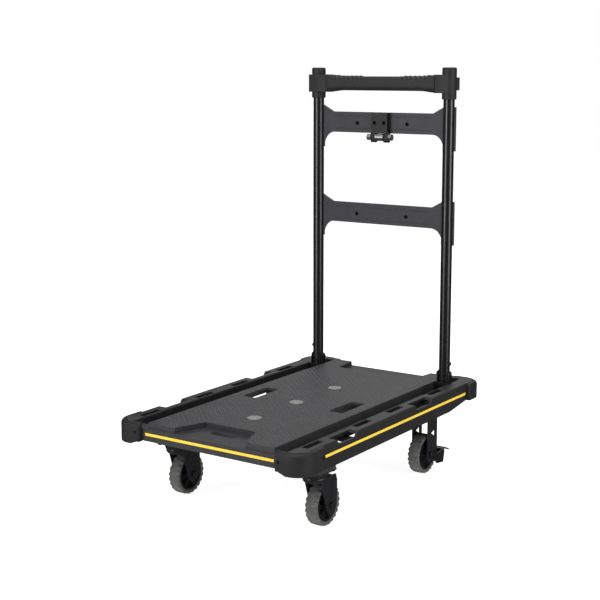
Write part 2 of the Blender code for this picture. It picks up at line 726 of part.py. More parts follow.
def bumper_body(side, end, side_run):
    """Skin the plans up the bumper: straight below, rounded over to the crown at the top."""
    top = DECK_HEIGHT
    levels = [(top - BUMPER_HEIGHT, 1.0)]
    for step in range(5):
        angle = pi / 2 * step / 4
        levels.append((top - BUMPER_CROWN_DROP * (1 - sin(angle)), cos(angle)))
    mesh = bmesh.new()
    rings = []
    for z, share in levels:
        plan = placed(bumper_plan(BUMPER_FRONT_RUN, side_run, share), side, end)
        rings.append([mesh.verts.new((u, v, z)) for u, v in plan])
    bridge(mesh, rings)
    return mesh


def make_bumpers():
    top = DECK_HEIGHT
    for end_name, end, side_run in (("front", -1, BUMPER_SIDE_RUN), ("rear", 1, BUMPER_REAR_RUN)):
        for name, side in SIDES:
            bumper = piece(f"bumper_{end_name}_{name}", bumper_body(side, end, side_run),
                           "bumper_rubber")
            if end_name == "front":
                tip = placed(bumper_plan(TONGUE_TIP, TONGUE_TIP), side, end)
                root = placed(bumper_plan(TONGUE_RUN, TONGUE_RUN), side, end)
                low = top - BUMPER_HEIGHT
                tongue = prism(tip, "z", low - TONGUE_DROP, low, root)
                add_prism(tongue, root, "z", low + 0.002, low + 0.010)
                weld(bumper, tongue)


# ---------------------------------------------------------------- handle hinge
def make_hinge(name, side, handle):
    """Steel bracket, pivot bolt, post and lock button at one side."""
    x = side * POST_X
    inner = POST_RADIUS + BRACKET_CLEARANCE
    outer = inner + BRACKET_GAUGE
    base = DECK_HEIGHT - POCKET_DROP + CLEARANCE
    stop = POST_Y - POST_RADIUS - BRACKET_CLEARANCE
    front = stop - BRACKET_GAUGE
    rear = POST_Y + BRACKET_HALF_DEPTH
    cheek = [(front, base), (rear, base)]
    cheek += arc((POST_Y, PIVOT_Z), BRACKET_HALF_DEPTH, 0.0, pi, 8)
    cheek += [(POST_Y - BRACKET_HALF_DEPTH, DECK_HEIGHT), (front, DECK_HEIGHT)]
    bracket = piece(f"hinge_bracket_{name}", prism(cheek, "x", x - outer, x + outer), "black_steel")
    cut(bracket, block((x - inner, stop, base + BRACKET_GAUGE),
                       (x + inner, rear + DEEP, PIVOT_Z + DEEP)))
    cut(bracket, block((x - inner, front - DEEP, DECK_HEIGHT + CLEARANCE),
                       (x + inner, stop + WALL, PIVOT_Z + DEEP)))
    hole = PIVOT_RADIUS + CLEARANCE
    cut(bracket, prism(circle((POST_Y, PIVOT_Z), hole, 24), "x", x - DEEP, x + DEEP))

    grip = outer + CLEARANCE
    head = grip + BOLT_HEAD_HEIGHT
    profile = [(0, -head), (BOLT_HEAD_RADIUS, -head), (BOLT_HEAD_RADIUS, -grip),
               (PIVOT_RADIUS, -grip), (PIVOT_RADIUS, grip), (BOLT_HEAD_RADIUS, grip)]
    profile += [(BOLT_HEAD_RADIUS * cos(a), grip + BOLT_HEAD_HEIGHT * sin(a))
                for a in (pi / 8, pi / 4, 3 * pi / 8)]
    profile += [(0, head)]
    bolt = turned([(r, side * along) for r, along in profile], 24)
    piece(f"pivot_bolt_{name}", moved(lay_along_x(bolt), (x, POST_Y, PIVOT_Z)), "black_steel",
          origin=(x, POST_Y, PIVOT_Z))

    foot = PIVOT_Z - POST_FOOT_DROP
    tube_top = HANDLE_TOP - SLEEVE_TOP - CLEARANCE
    bore = POST_RADIUS - POST_WALL
    tube = turned([(POST_RADIUS, foot), (POST_RADIUS, tube_top), (bore, tube_top), (bore, foot)], 36)
    post = piece(f"post_{name}", moved(tube, (x, POST_Y, 0)), "black_tube",
                 origin=(x, POST_Y, PIVOT_Z), parent=handle)
    cut(post, prism(circle((POST_Y, PIVOT_Z), hole, 24), "x", x - DEEP, x + DEEP))
    lock_z = DECK_HEIGHT + LOCK_RISE
    ends = sorted((x, x + side * DEEP))
    cut(post, prism(circle((POST_Y, lock_z), LOCK_RADIUS + CLEARANCE, 20), "x", *ends))

    tip = POST_RADIUS + LOCK_PROUD
    flange = (bore ** 2 - LOCK_FLANGE ** 2) ** 0.5 - CLEARANCE
    profile = [(0, flange - 0.0015), (LOCK_FLANGE, flange - 0.0015), (LOCK_FLANGE, flange),
               (LOCK_RADIUS, flange), (LOCK_RADIUS, tip - 0.002),
               (LOCK_RADIUS * 0.75, tip - 0.0005), (0, tip)]
    button = turned([(r, side * along) for r, along in profile], 20)
    piece(f"lock_button_{name}", moved(lay_along_x(button), (x, POST_Y, lock_z)), "black_steel",
          origin=(x, POST_Y, lock_z), parent=handle)


# ---------------------------------------------------------------- handle
def grip_end_boxes(name, side, air):
    """The blocks that make up one end of the grip, each grown by the given air."""
    z = HANDLE_TOP - GRIP_DROP
    inner = POST_X - GRIP_END_INNER
    reach = GRIP_END_LEFT if name == "left" else GRIP_END_RIGHT
    ends = sorted((side * (inner - air), side * (POST_X + reach + air)))
    half = GRIP_END_HEIGHT / 2 + air
    boxes = [((ends[0], POST_Y - GRIP_END_FRONT - air, z - half),
              (ends[1], POST_Y + GRIP_END_REAR + air, z + half))]
    if name == "right":
        half = TAIL_HEIGHT / 2 + air
        boxes.append(((POST_X, POST_Y + TAIL_FRONT - air, z - half),
                      (POST_X + TAIL_REACH + air, POST_Y + GRIP_END_REAR - 0.002 + air, z + half)))
    return boxes


def make_sleeve(name, side, handle):
    """Cap over the top of a post, necked where the end block wraps it."""
    edge = 0.004
    low = HANDLE_TOP - SLEEVE_LENGTH
    bore = POST_RADIUS + CLEARANCE
    profile = [(0, HANDLE_TOP)]
    profile += [(SLEEVE_RADIUS - edge + edge * sin(a), HANDLE_TOP - edge + edge * cos(a))
                for a in (0.0, pi / 6, pi / 3, pi / 2)]
    profile += [(SLEEVE_RADIUS, low + 0.002), (SLEEVE_RADIUS - 0.002, low), (bore, low),
                (bore, HANDLE_TOP - SLEEVE_TOP), (0, HANDLE_TOP - SLEEVE_TOP)]
    place = (side * POST_X, POST_Y, 0)
    sleeve = piece(f"sleeve_{name}", moved(turned(profile, 36), place), "grip_plastic",
                   parent=handle)
    for low_corner, high_corner in grip_end_boxes(name, side, CLEARANCE):
        cut(sleeve, block(low_corner, high_corner))
    z = HANDLE_TOP - GRIP_DROP
    half = GRIP_END_HEIGHT / 2 + 0.002
    neck = [(SLEEVE_NECK, z - half), (SLEEVE_NECK, z + half), (bore, z + half), (bore, z - half)]
    weld(sleeve, moved(turned(neck, 36), place))


def make_grip(handle):
    """Grip bar, flared at both ends, with an end block round each sleeve."""
    z = HANDLE_TOP - GRIP_DROP
    inner = POST_X - GRIP_END_INNER
    end = inner - CLEARANCE
    heights = (GRIP_END_HEIGHT - 0.001, (GRIP_END_HEIGHT + GRIP_HEIGHT) / 2 - 0.002, GRIP_HEIGHT)
    stations = (end, end - GRIP_FLARE / 2, end - GRIP_FLARE)
    halves = [height / 2 for height in heights]
    rows = list(zip(halves, stations)) + [(half, -x) for half, x in zip(halves[::-1], stations[::-1])]
    outlines = [rounded_box((POST_Y - GRIP_DEPTH / 2, z - half), (POST_Y + GRIP_DEPTH / 2, z + half),
                            0.012, 5) for half, _ in rows]
    piece("grip_bar", lofted(outlines, [x for _, x in rows]), "grip_plastic", parent=handle)
    for name, side in SIDES:
        body, *tail = grip_end_boxes(name, side, 0.0)
        plan = rounded_box(body[0][:2], body[1][:2], 0.006)
        made = piece(f"grip_end_{name}", prism(plan, "z", body[0][2], body[1][2]), "grip_plastic",
                     parent=handle)
        for low_corner, high_corner in tail:
            weld(made, prism(rounded_box(low_corner[:2], high_corner[:2], 0.004), "z",
                             low_corner[2], high_corner[2]))
        cut(made, prism(circle((side * POST_X, POST_Y), SLEEVE_NECK + CLEARANCE, 36), "z",
                        z - DEEP, z + DEEP))


def brace_outline(z):
    """Front view of a brace: a band that flares at both posts."""
    half = BRACE_HEIGHT / 2
    shoulder = POST_X - BRACE_SHOULDER
    end = POST_X + POST_RADIUS + BRACE_WRAP
    tube = POST_X - POST_RADIUS
    fillet = tube - shoulder
    right = [(shoulder, z + half), (tube, z + half + BRACE_FLARE_UP),
             (end, z + half + BRACE_FLARE_UP), (end, z - half - BRACE_FLARE_DOWN),
             (tube, z - half - BRACE_FLARE_DOWN)]
    for step in range(1, 6):
        angle = pi / 2 * step / 6
        right.append((tube - fillet * (1 - cos(angle)), z - half - BRACE_FLARE_DOWN * (1 - sin(angle))))
    right.append((shoulder, z - half))
    left = [(-u, v) for u, v in reversed(right)]
    return right + left


def make_brace(name, drop, handle):
    """Pressed cross brace whose ends wrap the rear of the posts."""
    z = HANDLE_TOP - drop
    brace = piece(name, prism(brace_outline(z), "y", BRACE_Y, BRACE_Y + BRACE_GAUGE), "brace_steel",
                  parent=handle)
    half = BRACE_HEIGHT / 2
    wrap = POST_RADIUS + BRACE_WRAP
    for side in (-1, 1):
        x = side * POST_X
        shell = [(x + wrap, BRACE_Y), *arc((x, POST_Y), wrap, pi / 12, pi - pi / 12, 12),
                 (x - wrap, BRACE_Y)]
        weld(brace, prism(shell, "z", z - half - BRACE_FLARE_DOWN + 0.0002,
                          z + half + BRACE_FLARE_UP - 0.0002))
    bores = bmesh.new()
    for side in (-1, 1):
        add_prism(bores, circle((side * POST_X, POST_Y), POST_RADIUS + CLEARANCE, 36), "z",
                  z - DEEP, z + DEEP)
    cut(brace, bores)


def hex_outline(centre, radius):
    return circle(centre, radius, 6)


def make_hitch(handle):
    """Hook block on the upper brace, with its cross bolt."""
    brace_z = HANDLE_TOP - UPPER_BRACE_DROP
    rear = BRACE_Y - CLEARANCE
    front = rear - HITCH_DEPTH
    top = brace_z + HITCH_HEIGHT / 2
    bottom = brace_z - HITCH_HEIGHT / 2
    half = HITCH_WIDTH / 2
    axis_z = bottom - LUG_DROP
    axis_y = (front + rear) / 2
    body = piece("hitch_block", block((-half, front, bottom), (half, rear, top)), "black_steel",
                 parent=handle)
    for side in (-1, 1):
        ends = sorted((side * (half + 0.002), side * (half + 0.002 - LUG_THICKNESS)))
        lug_front = front + LUG_INSET
        lug_rear = rear - LUG_INSET / 2
        foot_z = bottom - LUG_TAIL + LUG_CORNER
        lug = [(lug_rear, bottom + WALL)]
        lug += arc((lug_rear - LUG_CORNER, foot_z), LUG_CORNER, 0.0, -pi / 2, 4)
        lug += arc((lug_front + LUG_CORNER, foot_z), LUG_CORNER, -pi / 2, -pi, 4)
        lug += [(lug_front, bottom + WALL)]
        weld(body, prism(lug, "x", *ends))
    holes = bmesh.new()
    for side in (-1, 1):
        centre = (side * HITCH_SCREW_PITCH / 2, brace_z)
        add_prism(holes, circle(centre, HITCH_SCREW_RADIUS + CLEARANCE, 16), "y",
                  front - WALL, front + HITCH_DEPTH / 2)
    cut(body, holes)
    cut(body, prism(circle((axis_y, axis_z), HITCH_BOLT_RADIUS + CLEARANCE, 20), "x", -DEEP, DEEP))
    for name, side in SIDES:
        x = side * HITCH_SCREW_PITCH / 2
        deep = front + HITCH_DEPTH / 2 - CLEARANCE
        screw = prism(circle((x, brace_z), HITCH_SCREW_RADIUS, 16), "y", front + 0.002, deep)
        made = piece(f"hitch_screw_{name}", screw, "black_steel", parent=handle)
        cut(made, prism(hex_outline((x, brace_z), HITCH_SCREW_RADIUS * 0.6), "y",
                        front - WALL, front + 0.004))
    face = half + 0.002 + CLEARANCE
    bolt = piece("hitch_bolt", prism(circle((axis_y, axis_z), HITCH_BOLT_RADIUS, 20), "x",
                                     -face - HITCH_NUT - 0.003, face + 0.001), "zinc", parent=handle)
    weld(bolt, prism(hex_outline((axis_y, axis_z), HITCH_BOLT_HEX), "x", face, face + HITCH_HEAD))
    nut = piece("hitch_nut", prism(hex_outline((axis_y, axis_z), HITCH_BOLT_HEX), "x",
                                   -face - HITCH_NUT, -face), "zinc", parent=handle)
    cut(nut, prism(circle((axis_y, axis_z), HITCH_BOLT_RADIUS + CLEARANCE, 20), "x", -DEEP, DEEP))
    room = half + 0.002 - LUG_THICKNESS - CLEARANCE
    spacer = piece("hitch_spacer", prism(circle((axis_y, axis_z), HITCH_SPACER_RADIUS, 24), "x",
                                         -room, room), "zinc", parent=handle)
    cut(spacer, prism(circle((axis_y, axis_z), HITCH_BOLT_RADIUS + CLEARANCE, 20), "x", -DEEP, DEEP))


# ---------------------------------------------------------------- casters
def make_wheel(prefix, x, y, parent):
    """Hub and tyre on one spin axis."""
    spin = pivot(f"{prefix}_spin_axis", (x, y, WHEEL_RADIUS), parent)
    half = TREAD_WIDTH / 2
    seat = HUB_RADIUS
    rim = seat - 0.004
    bore = AXLE_RADIUS + CLEARANCE
    hub = [(bore, -HUB_WIDTH / 2), (HUB_BOSS_RADIUS, -HUB_WIDTH / 2),
           (HUB_BOSS_RADIUS + 0.001, -HUB_WEB / 2), (rim - 0.002, -HUB_WEB / 2),
           (rim, -half + 0.002), (seat, -half + 0.002)]
    hub += [(r, -along) for r, along in reversed(hub)]
    piece(f"{prefix}_hub", moved(lay_along_x(turned(hub, 32)), (x, y, WHEEL_RADIUS)), "hub_plastic",
          origin=(x, y, WHEEL_RADIUS), parent=spin)
    shoulder = 0.006
    inner = seat + CLEARANCE
    tyre = [(inner, half - 0.001), (inner, 0.001 - half), (WHEEL_RADIUS - shoulder, -half)]
    tyre += [(WHEEL_RADIUS - shoulder + shoulder * sin(a), -half + shoulder * (1 - cos(a)))
             for a in (pi / 4, pi / 2)]
    tyre += [(r, -along) for r, along in reversed(tyre[2:])]
    piece(f"{prefix}_tyre", moved(lay_along_x(turned(tyre, 40)), (x, y, WHEEL_RADIUS)), "tyre_rubber",
          origin=(x, y, WHEEL_RADIUS), parent=spin)


def make_axle(prefix, x, y, parent):
    """Axle bolt with its head and nut."""
    centre = (y, WHEEL_RADIUS)
    face = LEG_OUTER + CLEARANCE
    axle = piece(f"{prefix}_axle", prism(circle(centre, AXLE_RADIUS, 20), "x",
                                         x - face - 0.001, x + face + 0.001),
                 "zinc", origin=(x, y, WHEEL_RADIUS), parent=parent)
    for side in (-1, 1):
        ends = sorted((x + side * face, x + side * (face + AXLE_HEAD)))
        weld(axle, prism(hex_outline(centre, AXLE_HEX), "x", *ends))


def cut_axle_hole(fork, x, y):
    cut(fork, prism(circle((y, WHEEL_RADIUS), AXLE_RADIUS + CLEARANCE, 20), "x", x - DEEP, x + DEEP))


def make_front_caster(name, side):
    """Swivel caster: plate and raceway stay put, the fork turns on the kingpin."""
    prefix = f"front_{name}"
    x, y = side * CASTER_X, FRONT_KINGPIN_Y
    axle_y = FRONT_AXLE_Y
    top = FRONT_PLATE_TOP
    low = top - PLATE_THICKNESS
    piece(f"{prefix}_plate", prism(plate_outline(x, y, PLATE_CORNER), "z", low, top), "fork_steel")
    race_top = low - CLEARANCE
    race_low = race_top - RACEWAY_HEIGHT
    hole = KINGPIN_RADIUS + CLEARANCE
    race = [(hole, race_low), (RACEWAY_RADIUS - 0.005, race_low),
            (RACEWAY_RADIUS - 0.001, race_low + 0.003), (RACEWAY_RADIUS, race_low + 0.006),
            (RACEWAY_RADIUS, race_top - 0.002), (RACEWAY_RADIUS - 0.002, race_top), (hole, race_top)]
    piece(f"{prefix}_raceway", moved(turned(race, 36), (x, y, 0)), "fork_steel")
    swivel = pivot(f"{prefix}_swivel_axis", (x, y, race_low))
    crown_top = race_low - CLEARANCE
    crown_low = crown_top - CROWN_HEIGHT
    crown = [(0, crown_low), (CROWN_RADIUS - 0.003, crown_low), (CROWN_RADIUS, crown_low + 0.003),
             (CROWN_RADIUS, crown_top), (KINGPIN_RADIUS, crown_top), (KINGPIN_RADIUS, race_top - CLEARANCE),
             (0, race_top - CLEARANCE)]
    fork = piece(f"{prefix}_fork", moved(turned(crown, 36), (x, y, 0)), "fork_steel",
                 origin=(x, y, race_low), parent=swivel)
    foot = FORK_FOOT
    rear = axle_y + foot + 0.004
    leg = [(axle_y - 0.038, crown_top - 0.001), (axle_y - 0.038, crown_low)]
    leg += arc((axle_y, WHEEL_RADIUS), foot, pi * 1.1, pi * 1.85, 8)
    leg += [(rear, WHEEL_RADIUS), (rear, crown_low), (rear - 0.003, crown_top - 0.001)]
    flange = [(axle_y + 0.002, WHEEL_RADIUS + 0.014), (rear, WHEEL_RADIUS + 0.014),
              (rear, crown_low - 0.003), (axle_y + 0.002, crown_low - 0.003)]
    for way in (-1, 1):
        ends = sorted((x + way * LEG_INNER, x + way * LEG_OUTER))
        weld(fork, prism(leg, "x", *ends))
        ends = sorted((x + way * (LEG_INNER + 0.001), x + way * (LEG_OUTER + 0.0015)))
        weld(fork, prism(flange, "x", *ends))
    weld(fork, block((x - LEG_OUTER + 0.0005, y - 0.006, crown_low + 0.0007),
                     (x + LEG_OUTER - 0.0005, axle_y + foot - 0.006, crown_top - 0.0015)))
    cut_axle_hole(fork, x, axle_y)
    make_axle(prefix, x, axle_y, swivel)
    make_wheel(prefix, x, axle_y, swivel)


def make_rear_caster(name, side):
    """Rigid caster with a foot brake."""
    prefix = f"rear_{name}"
    x, y = side * CASTER_X, REAR_AXLE_Y
    top = REAR_PLATE_TOP
    low = top - PLATE_THICKNESS
    fork = piece(f"{prefix}_fork", prism(plate_outline(x, y, PLATE_CORNER), "z", low, top), "fork_steel")
    foot = REAR_FORK_FOOT
    rear_edge = y + REAR_LEG_REACH
    leg = [(y - 0.013, low + PLATE_THICKNESS / 2), (y - 0.013, WHEEL_RADIUS + 0.030)]
    leg += arc((y, WHEEL_RADIUS), foot, pi, pi * 1.6, 6)
    leg += [(rear_edge - 0.004, WHEEL_RADIUS - foot + 0.004), (rear_edge, WHEEL_RADIUS + 0.004),
            (rear_edge, low + PLATE_THICKNESS / 2)]
    window_rear = rear_edge - 0.011
    window_z = WHEEL_RADIUS + WINDOW_RISE
    window = [(window_rear - WINDOW_LENGTH, window_z + WINDOW_HEIGHT * 0.63), (window_rear, window_z),
              (window_rear, window_z + WINDOW_HEIGHT)]
    for way in (-1, 1):
        ends = sorted((x + way * LEG_INNER, x + way * LEG_OUTER))
        weld(fork, prism(leg, "x", *ends))
    cut(fork, prism(window, "x", x - DEEP / 4, x + DEEP / 4))
    pivot_y, pivot_z = y + BRAKE_PIVOT_Y, WHEEL_RADIUS - BRAKE_PIVOT_DROP
    for way in (-1, 1):
        ends = sorted((x + way * (LEG_INNER + 0.001), x + way * (LEG_OUTER + BRAKE_GAUGE + 0.001)))
        weld(fork, prism(circle((pivot_y, pivot_z), BRAKE_PIN_RADIUS, 16), "x", *ends))
    cut_axle_hole(fork, x, y)
    make_axle(prefix, x, y, None)
    make_wheel(prefix, x, y, None)
    make_brake(prefix, x, pivot_y, pivot_z)


def make_brake(prefix, x, pivot_y, pivot_z):
    """Foot brake: two arms outside the fork, joined behind the tyre by a pedal."""
    inner = LEG_OUTER + CLEARANCE
    outer = inner + BRAKE_GAUGE
    head = AXLE_HEX + 0.0015
    start = pivot_y - 0.0075
    plate = pivot_y - BRAKE_PIVOT_Y + WHEEL_RADIUS + BRAKE_TYRE_GAP
    side_view = [(start, pivot_z - 0.010), (pivot_y + 0.012, pivot_z - 0.026),
                 (plate + BRAKE_GAUGE, pivot_z - 0.030), (plate + 0.009, pivot_z - 0.004),
                 (plate + 0.006, pivot_z + 0.006), (pivot_y + 0.016, pivot_z + 0.001),
                 (pivot_y + 0.006, pivot_z + 0.010), (start, pivot_z + 0.008)]
    arm_start = max(start, pivot_y - BRAKE_PIVOT_Y + head)
    side_view = [(max(u, arm_start), v) for u, v in side_view]
    axis = pivot(f"{prefix}_brake_axis", (x, pivot_y, pivot_z))
    brake = piece(f"{prefix}_brake", prism(side_view, "x", x - outer, x + outer), "black_steel",
                  origin=(x, pivot_y, pivot_z), parent=axis)
    cut(brake, block((x - inner, start - DEEP, pivot_z - DEEP / 2), (x + inner, plate, pivot_z + DEEP / 2)))
    cut(brake, prism(circle((pivot_y, pivot_z), BRAKE_PIN_RADIUS + CLEARANCE, 16), "x",
                     x - DEEP, x + DEEP))
    lip_top = pivot_z + 0.0045
    tread = [(plate + 0.001, lip_top - 0.003), (plate + 0.018, lip_top - 0.003),
             (plate + BRAKE_TREAD, lip_top - 0.012), (plate + BRAKE_TREAD, lip_top - 0.009),
             (plate + 0.020, lip_top), (plate + 0.001, lip_top)]
    weld(brake, prism(tread, "x", x - outer + 0.003, x + outer - 0.003))


# ---------------------------------------------------------------- build
def clear_scene():
    for item in list(bpy.data.objects):
        bpy.data.objects.remove(item, do_unlink=True)


def build():
    clear_scene()
    make_deck()
    make_pads()
    make_rails()
    make_strips()
    make_bumpers()
    handle = pivot("handle_axis", (0, POST_Y, PIVOT_Z))
    for name, side in SIDES:
        make_hinge(name, side, handle)
        make_sleeve(name, side, handle)
    make_grip(handle)
    make_brace("upper_brace", UPPER_BRACE_DROP, handle)
    make_brace("lower_brace", LOWER_BRACE_DROP, handle)
    make_hitch(handle)
    for name, side in SIDES:
        make_front_caster(name, side)
        make_rear_caster(name, side)


build()
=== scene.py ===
# %% [markdown]
# # A folding platform cart
#
# The cart has a moulded deck on four casters, two black steel posts joined by braces, and a grip
# bar. The working model already holds every part at its real size. This lesson dresses it: it
# rounds the edges, adds the fine pieces a working model leaves out, and gives each part a finish.

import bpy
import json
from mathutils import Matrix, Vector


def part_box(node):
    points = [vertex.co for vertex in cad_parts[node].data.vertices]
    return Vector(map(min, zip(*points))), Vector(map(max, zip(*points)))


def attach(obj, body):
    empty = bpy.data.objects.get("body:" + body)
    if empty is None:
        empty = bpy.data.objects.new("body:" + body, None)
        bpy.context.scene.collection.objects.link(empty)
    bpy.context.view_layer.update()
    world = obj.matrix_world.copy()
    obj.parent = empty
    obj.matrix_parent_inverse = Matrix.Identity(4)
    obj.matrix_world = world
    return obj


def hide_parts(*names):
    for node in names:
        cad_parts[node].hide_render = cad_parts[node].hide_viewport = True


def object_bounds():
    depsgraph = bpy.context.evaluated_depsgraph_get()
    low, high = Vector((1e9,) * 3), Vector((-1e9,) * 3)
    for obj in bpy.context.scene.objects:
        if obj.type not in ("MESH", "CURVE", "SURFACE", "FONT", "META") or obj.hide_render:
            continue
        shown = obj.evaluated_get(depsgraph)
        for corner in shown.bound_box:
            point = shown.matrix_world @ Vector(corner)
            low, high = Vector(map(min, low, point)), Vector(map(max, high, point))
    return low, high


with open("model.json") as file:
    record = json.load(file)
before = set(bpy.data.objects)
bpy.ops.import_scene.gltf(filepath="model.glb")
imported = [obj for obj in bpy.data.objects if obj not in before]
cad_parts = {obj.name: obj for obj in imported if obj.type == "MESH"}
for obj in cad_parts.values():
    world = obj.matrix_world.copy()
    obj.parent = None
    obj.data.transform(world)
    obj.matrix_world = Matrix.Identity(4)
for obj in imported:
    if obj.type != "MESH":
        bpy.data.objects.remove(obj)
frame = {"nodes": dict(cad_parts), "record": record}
cad_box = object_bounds()
print("parts in the working model:", len(frame["nodes"]))

# %% [markdown]
# ## Tools and sizes
#
# Everything is measured from the working model, so nothing has to be fitted by eye. A box gives
# the lowest and highest corner of a part, and its middle is halfway between them.

# %% Tools and sizes
import json
from math import cos, hypot, pi, radians, sin, tau

import bmesh
import bpy
from mathutils import Vector
from mathutils.bvhtree import BVHTree


def low(part):
    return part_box(part)[0]


def high(part):
    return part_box(part)[1]


def middle(part):
    return (low(part) + high(part)) / 2


SIDES = {"left": -1, "right": 1}
WHEELS = [f"{end}_{side}" for end in ("front", "rear") for side in SIDES]
deck_top = high("deck").z
post_x = middle("post_right").x
post_y = middle("post_right").y
print("deck top", round(deck_top, 4), "posts at", round(post_x, 4), round(post_y, 4))

# %% [markdown]
# ## The viewpoint
#
# The cart is seen from its front right corner, a little above the handle, through a long lens.
# A long lens far away keeps the posts almost parallel, as in a catalogue picture. The camera
# mostly tips down and is shifted only a little, so it also works when it moves round the cart.

# %% The viewpoint
lens = bpy.data.cameras.new("catalogue_lens")
lens.lens = 76.72
lens.sensor_width = 36.0
lens.shift_y = -0.05
camera = bpy.data.objects.new("catalogue_camera", lens)
camera.location = (1.7113, -2.5486, deck_top + 0.7973)
camera.rotation_euler = (radians(90 - 8.87), 0.0, radians(34.31))
bpy.context.scene.collection.objects.link(camera)
bpy.context.scene.camera = camera
bpy.context.scene.view_settings.view_transform = "Standard"
print("camera", [round(value, 3) for value in camera.location])

# %% [markdown]
# ## Floor and soft light
#
# Black paint shows only what it mirrors. Two tall soft boxes, one on each side of the camera,
# draw the two pale lines on each post, and a wide one above lights the deck. The floor doesn't
# show in reflections, and the sky is dim there, so black parts stay black.

# %% Floor
FLOOR_HALF = 30.0


def pale_floor_finish():
    finish = bpy.data.materials.new("pale_floor")
    finish.use_nodes = True
    nodes, links = finish.node_tree.nodes, finish.node_tree.links
    paint = nodes["Principled BSDF"]
    paint.inputs["Roughness"].default_value = 0.9
    paint.inputs["Emission Strength"].default_value = 0.86
    paint.inputs["Emission Color"].default_value = (1.0, 1.0, 1.0, 1.0)
    mottle = nodes.new("ShaderNodeTexNoise")
    mottle.inputs["Scale"].default_value = 3.0
    tones = nodes.new("ShaderNodeValToRGB")
    tones.color_ramp.elements[0].color = (0.80, 0.80, 0.80, 1.0)
    tones.color_ramp.elements[1].color = (0.82, 0.82, 0.82, 1.0)
    links.new(mottle.outputs["Fac"], tones.inputs["Fac"])
    links.new(tones.outputs["Color"], paint.inputs["Base Color"])
    return finish


sheet = bmesh.new()
bmesh.ops.create_grid(sheet, x_segments=4, y_segments=4, size=FLOOR_HALF)
floor_mesh = bpy.data.meshes.new("floor")
sheet.to_mesh(floor_mesh)
sheet.free()
floor_mesh.materials.append(pale_floor_finish())
floor = bpy.data.objects.new("floor", floor_mesh)
floor.location.z = cad_box[0].z - 0.0005
floor.visible_glossy = False
bpy.context.scene.collection.objects.link(floor)
print("floor at", round(floor.location.z, 4))

# %% Lights


def soft_box(name, azimuth, distance, height, size, power, aim=(0.0, 0.1, 0.45)):
    """A rectangular lamp at an azimuth round the cart, turned to face it."""
    lamp = bpy.data.lights.new(name, "AREA")
    lamp.shape = "RECTANGLE"
    lamp.size, lamp.size_y = size
    lamp.energy = power
    holder = bpy.data.objects.new(name, lamp)
    turn = radians(azimuth)
    holder.location = (sin(turn) * distance, -cos(turn) * distance, height)
    way = Vector(aim) - holder.location
    holder.rotation_euler = way.to_track_quat("-Z", "Y").to_euler()
    bpy.context.scene.collection.objects.link(holder)
    return holder


soft_box("left_box", -20.0, 3.0, 1.25, (1.0, 2.8), 40.0, aim=(0.0, 0.1, 1.15))
soft_box("right_box", 90.0, 3.0, 1.25, (1.0, 2.8), 34.0, aim=(0.0, 0.1, 1.15))
soft_box("top_box", 20.0, 0.6, 3.40, (2.6, 2.6), 66.0, aim=(0.0, 0.0, 0.2))
soft_box("back_box", 200.0, 3.4, 2.20, (3.0, 2.0), 26.0)
sky = bpy.data.worlds.new("studio")
sky.use_nodes = True
bpy.context.scene.world = sky
sky_nodes, sky_links = sky.node_tree.nodes, sky.node_tree.links
rays = sky_nodes.new("ShaderNodeLightPath")
mirrored_sky = sky_nodes.new("ShaderNodeMapRange")
mirrored_sky.inputs["To Min"].default_value = 0.20
mirrored_sky.inputs["To Max"].default_value = 0.07
sky_links.new(rays.outputs["Is Glossy Ray"], mirrored_sky.inputs["Value"])
seen_sky = sky_nodes.new("ShaderNodeMapRange")
seen_sky.inputs["To Max"].default_value = 1.0
sky_links.new(rays.outputs["Is Camera Ray"], seen_sky.inputs["Value"])
sky_links.new(mirrored_sky.outputs["Result"], seen_sky.inputs["To Min"])
sky_links.new(seen_sky.outputs["Result"], sky_nodes["Background"].inputs["Strength"])
sky_nodes["Background"].inputs["Color"].default_value = (1.0, 1.0, 1.0, 1.0)

# %% [markdown]
# ## Finishes
#
# Moulded plastic, paint and rubber share three habits. Their tone drifts a little from place to
# place, a fine grain breaks up the shine, and the edges are painted paler: partly handling wear,
# partly a painted highlight where an edge catches the light. One recipe covers all three with
# different numbers. The pale edge is found by comparing the true surface with a slightly rounded
# one: they differ only where an edge is near.

# %% The shared recipe


def add_node(tree, kind, **values):
    """Add a node and set its inputs; an underscore in a name stands for a space."""
    made = tree.nodes.new(kind)
    for name, value in values.items():
        made.inputs[name.replace("_", " ")].default_value = value
    return made


def tone_pair(tree, colour, spread, scale, place):
    """A colour that drifts between a darker and a lighter tone."""
    drift = add_node(tree, "ShaderNodeTexNoise", Scale=scale, Detail=4.0, Roughness=0.55)
    tree.links.new(place, drift.inputs["Vector"])
    ramp = tree.nodes.new("ShaderNodeValToRGB")
    for end, share in zip(ramp.color_ramp.elements, (1 - spread, 1 + spread)):
        end.color = (*(channel * share for channel in colour), 1.0)
    ramp.color_ramp.elements[0].position = 0.3
    ramp.color_ramp.elements[1].position = 0.7
    tree.links.new(drift.outputs["Fac"], ramp.inputs["Fac"])
    return ramp.outputs["Color"], drift.outputs["Fac"]


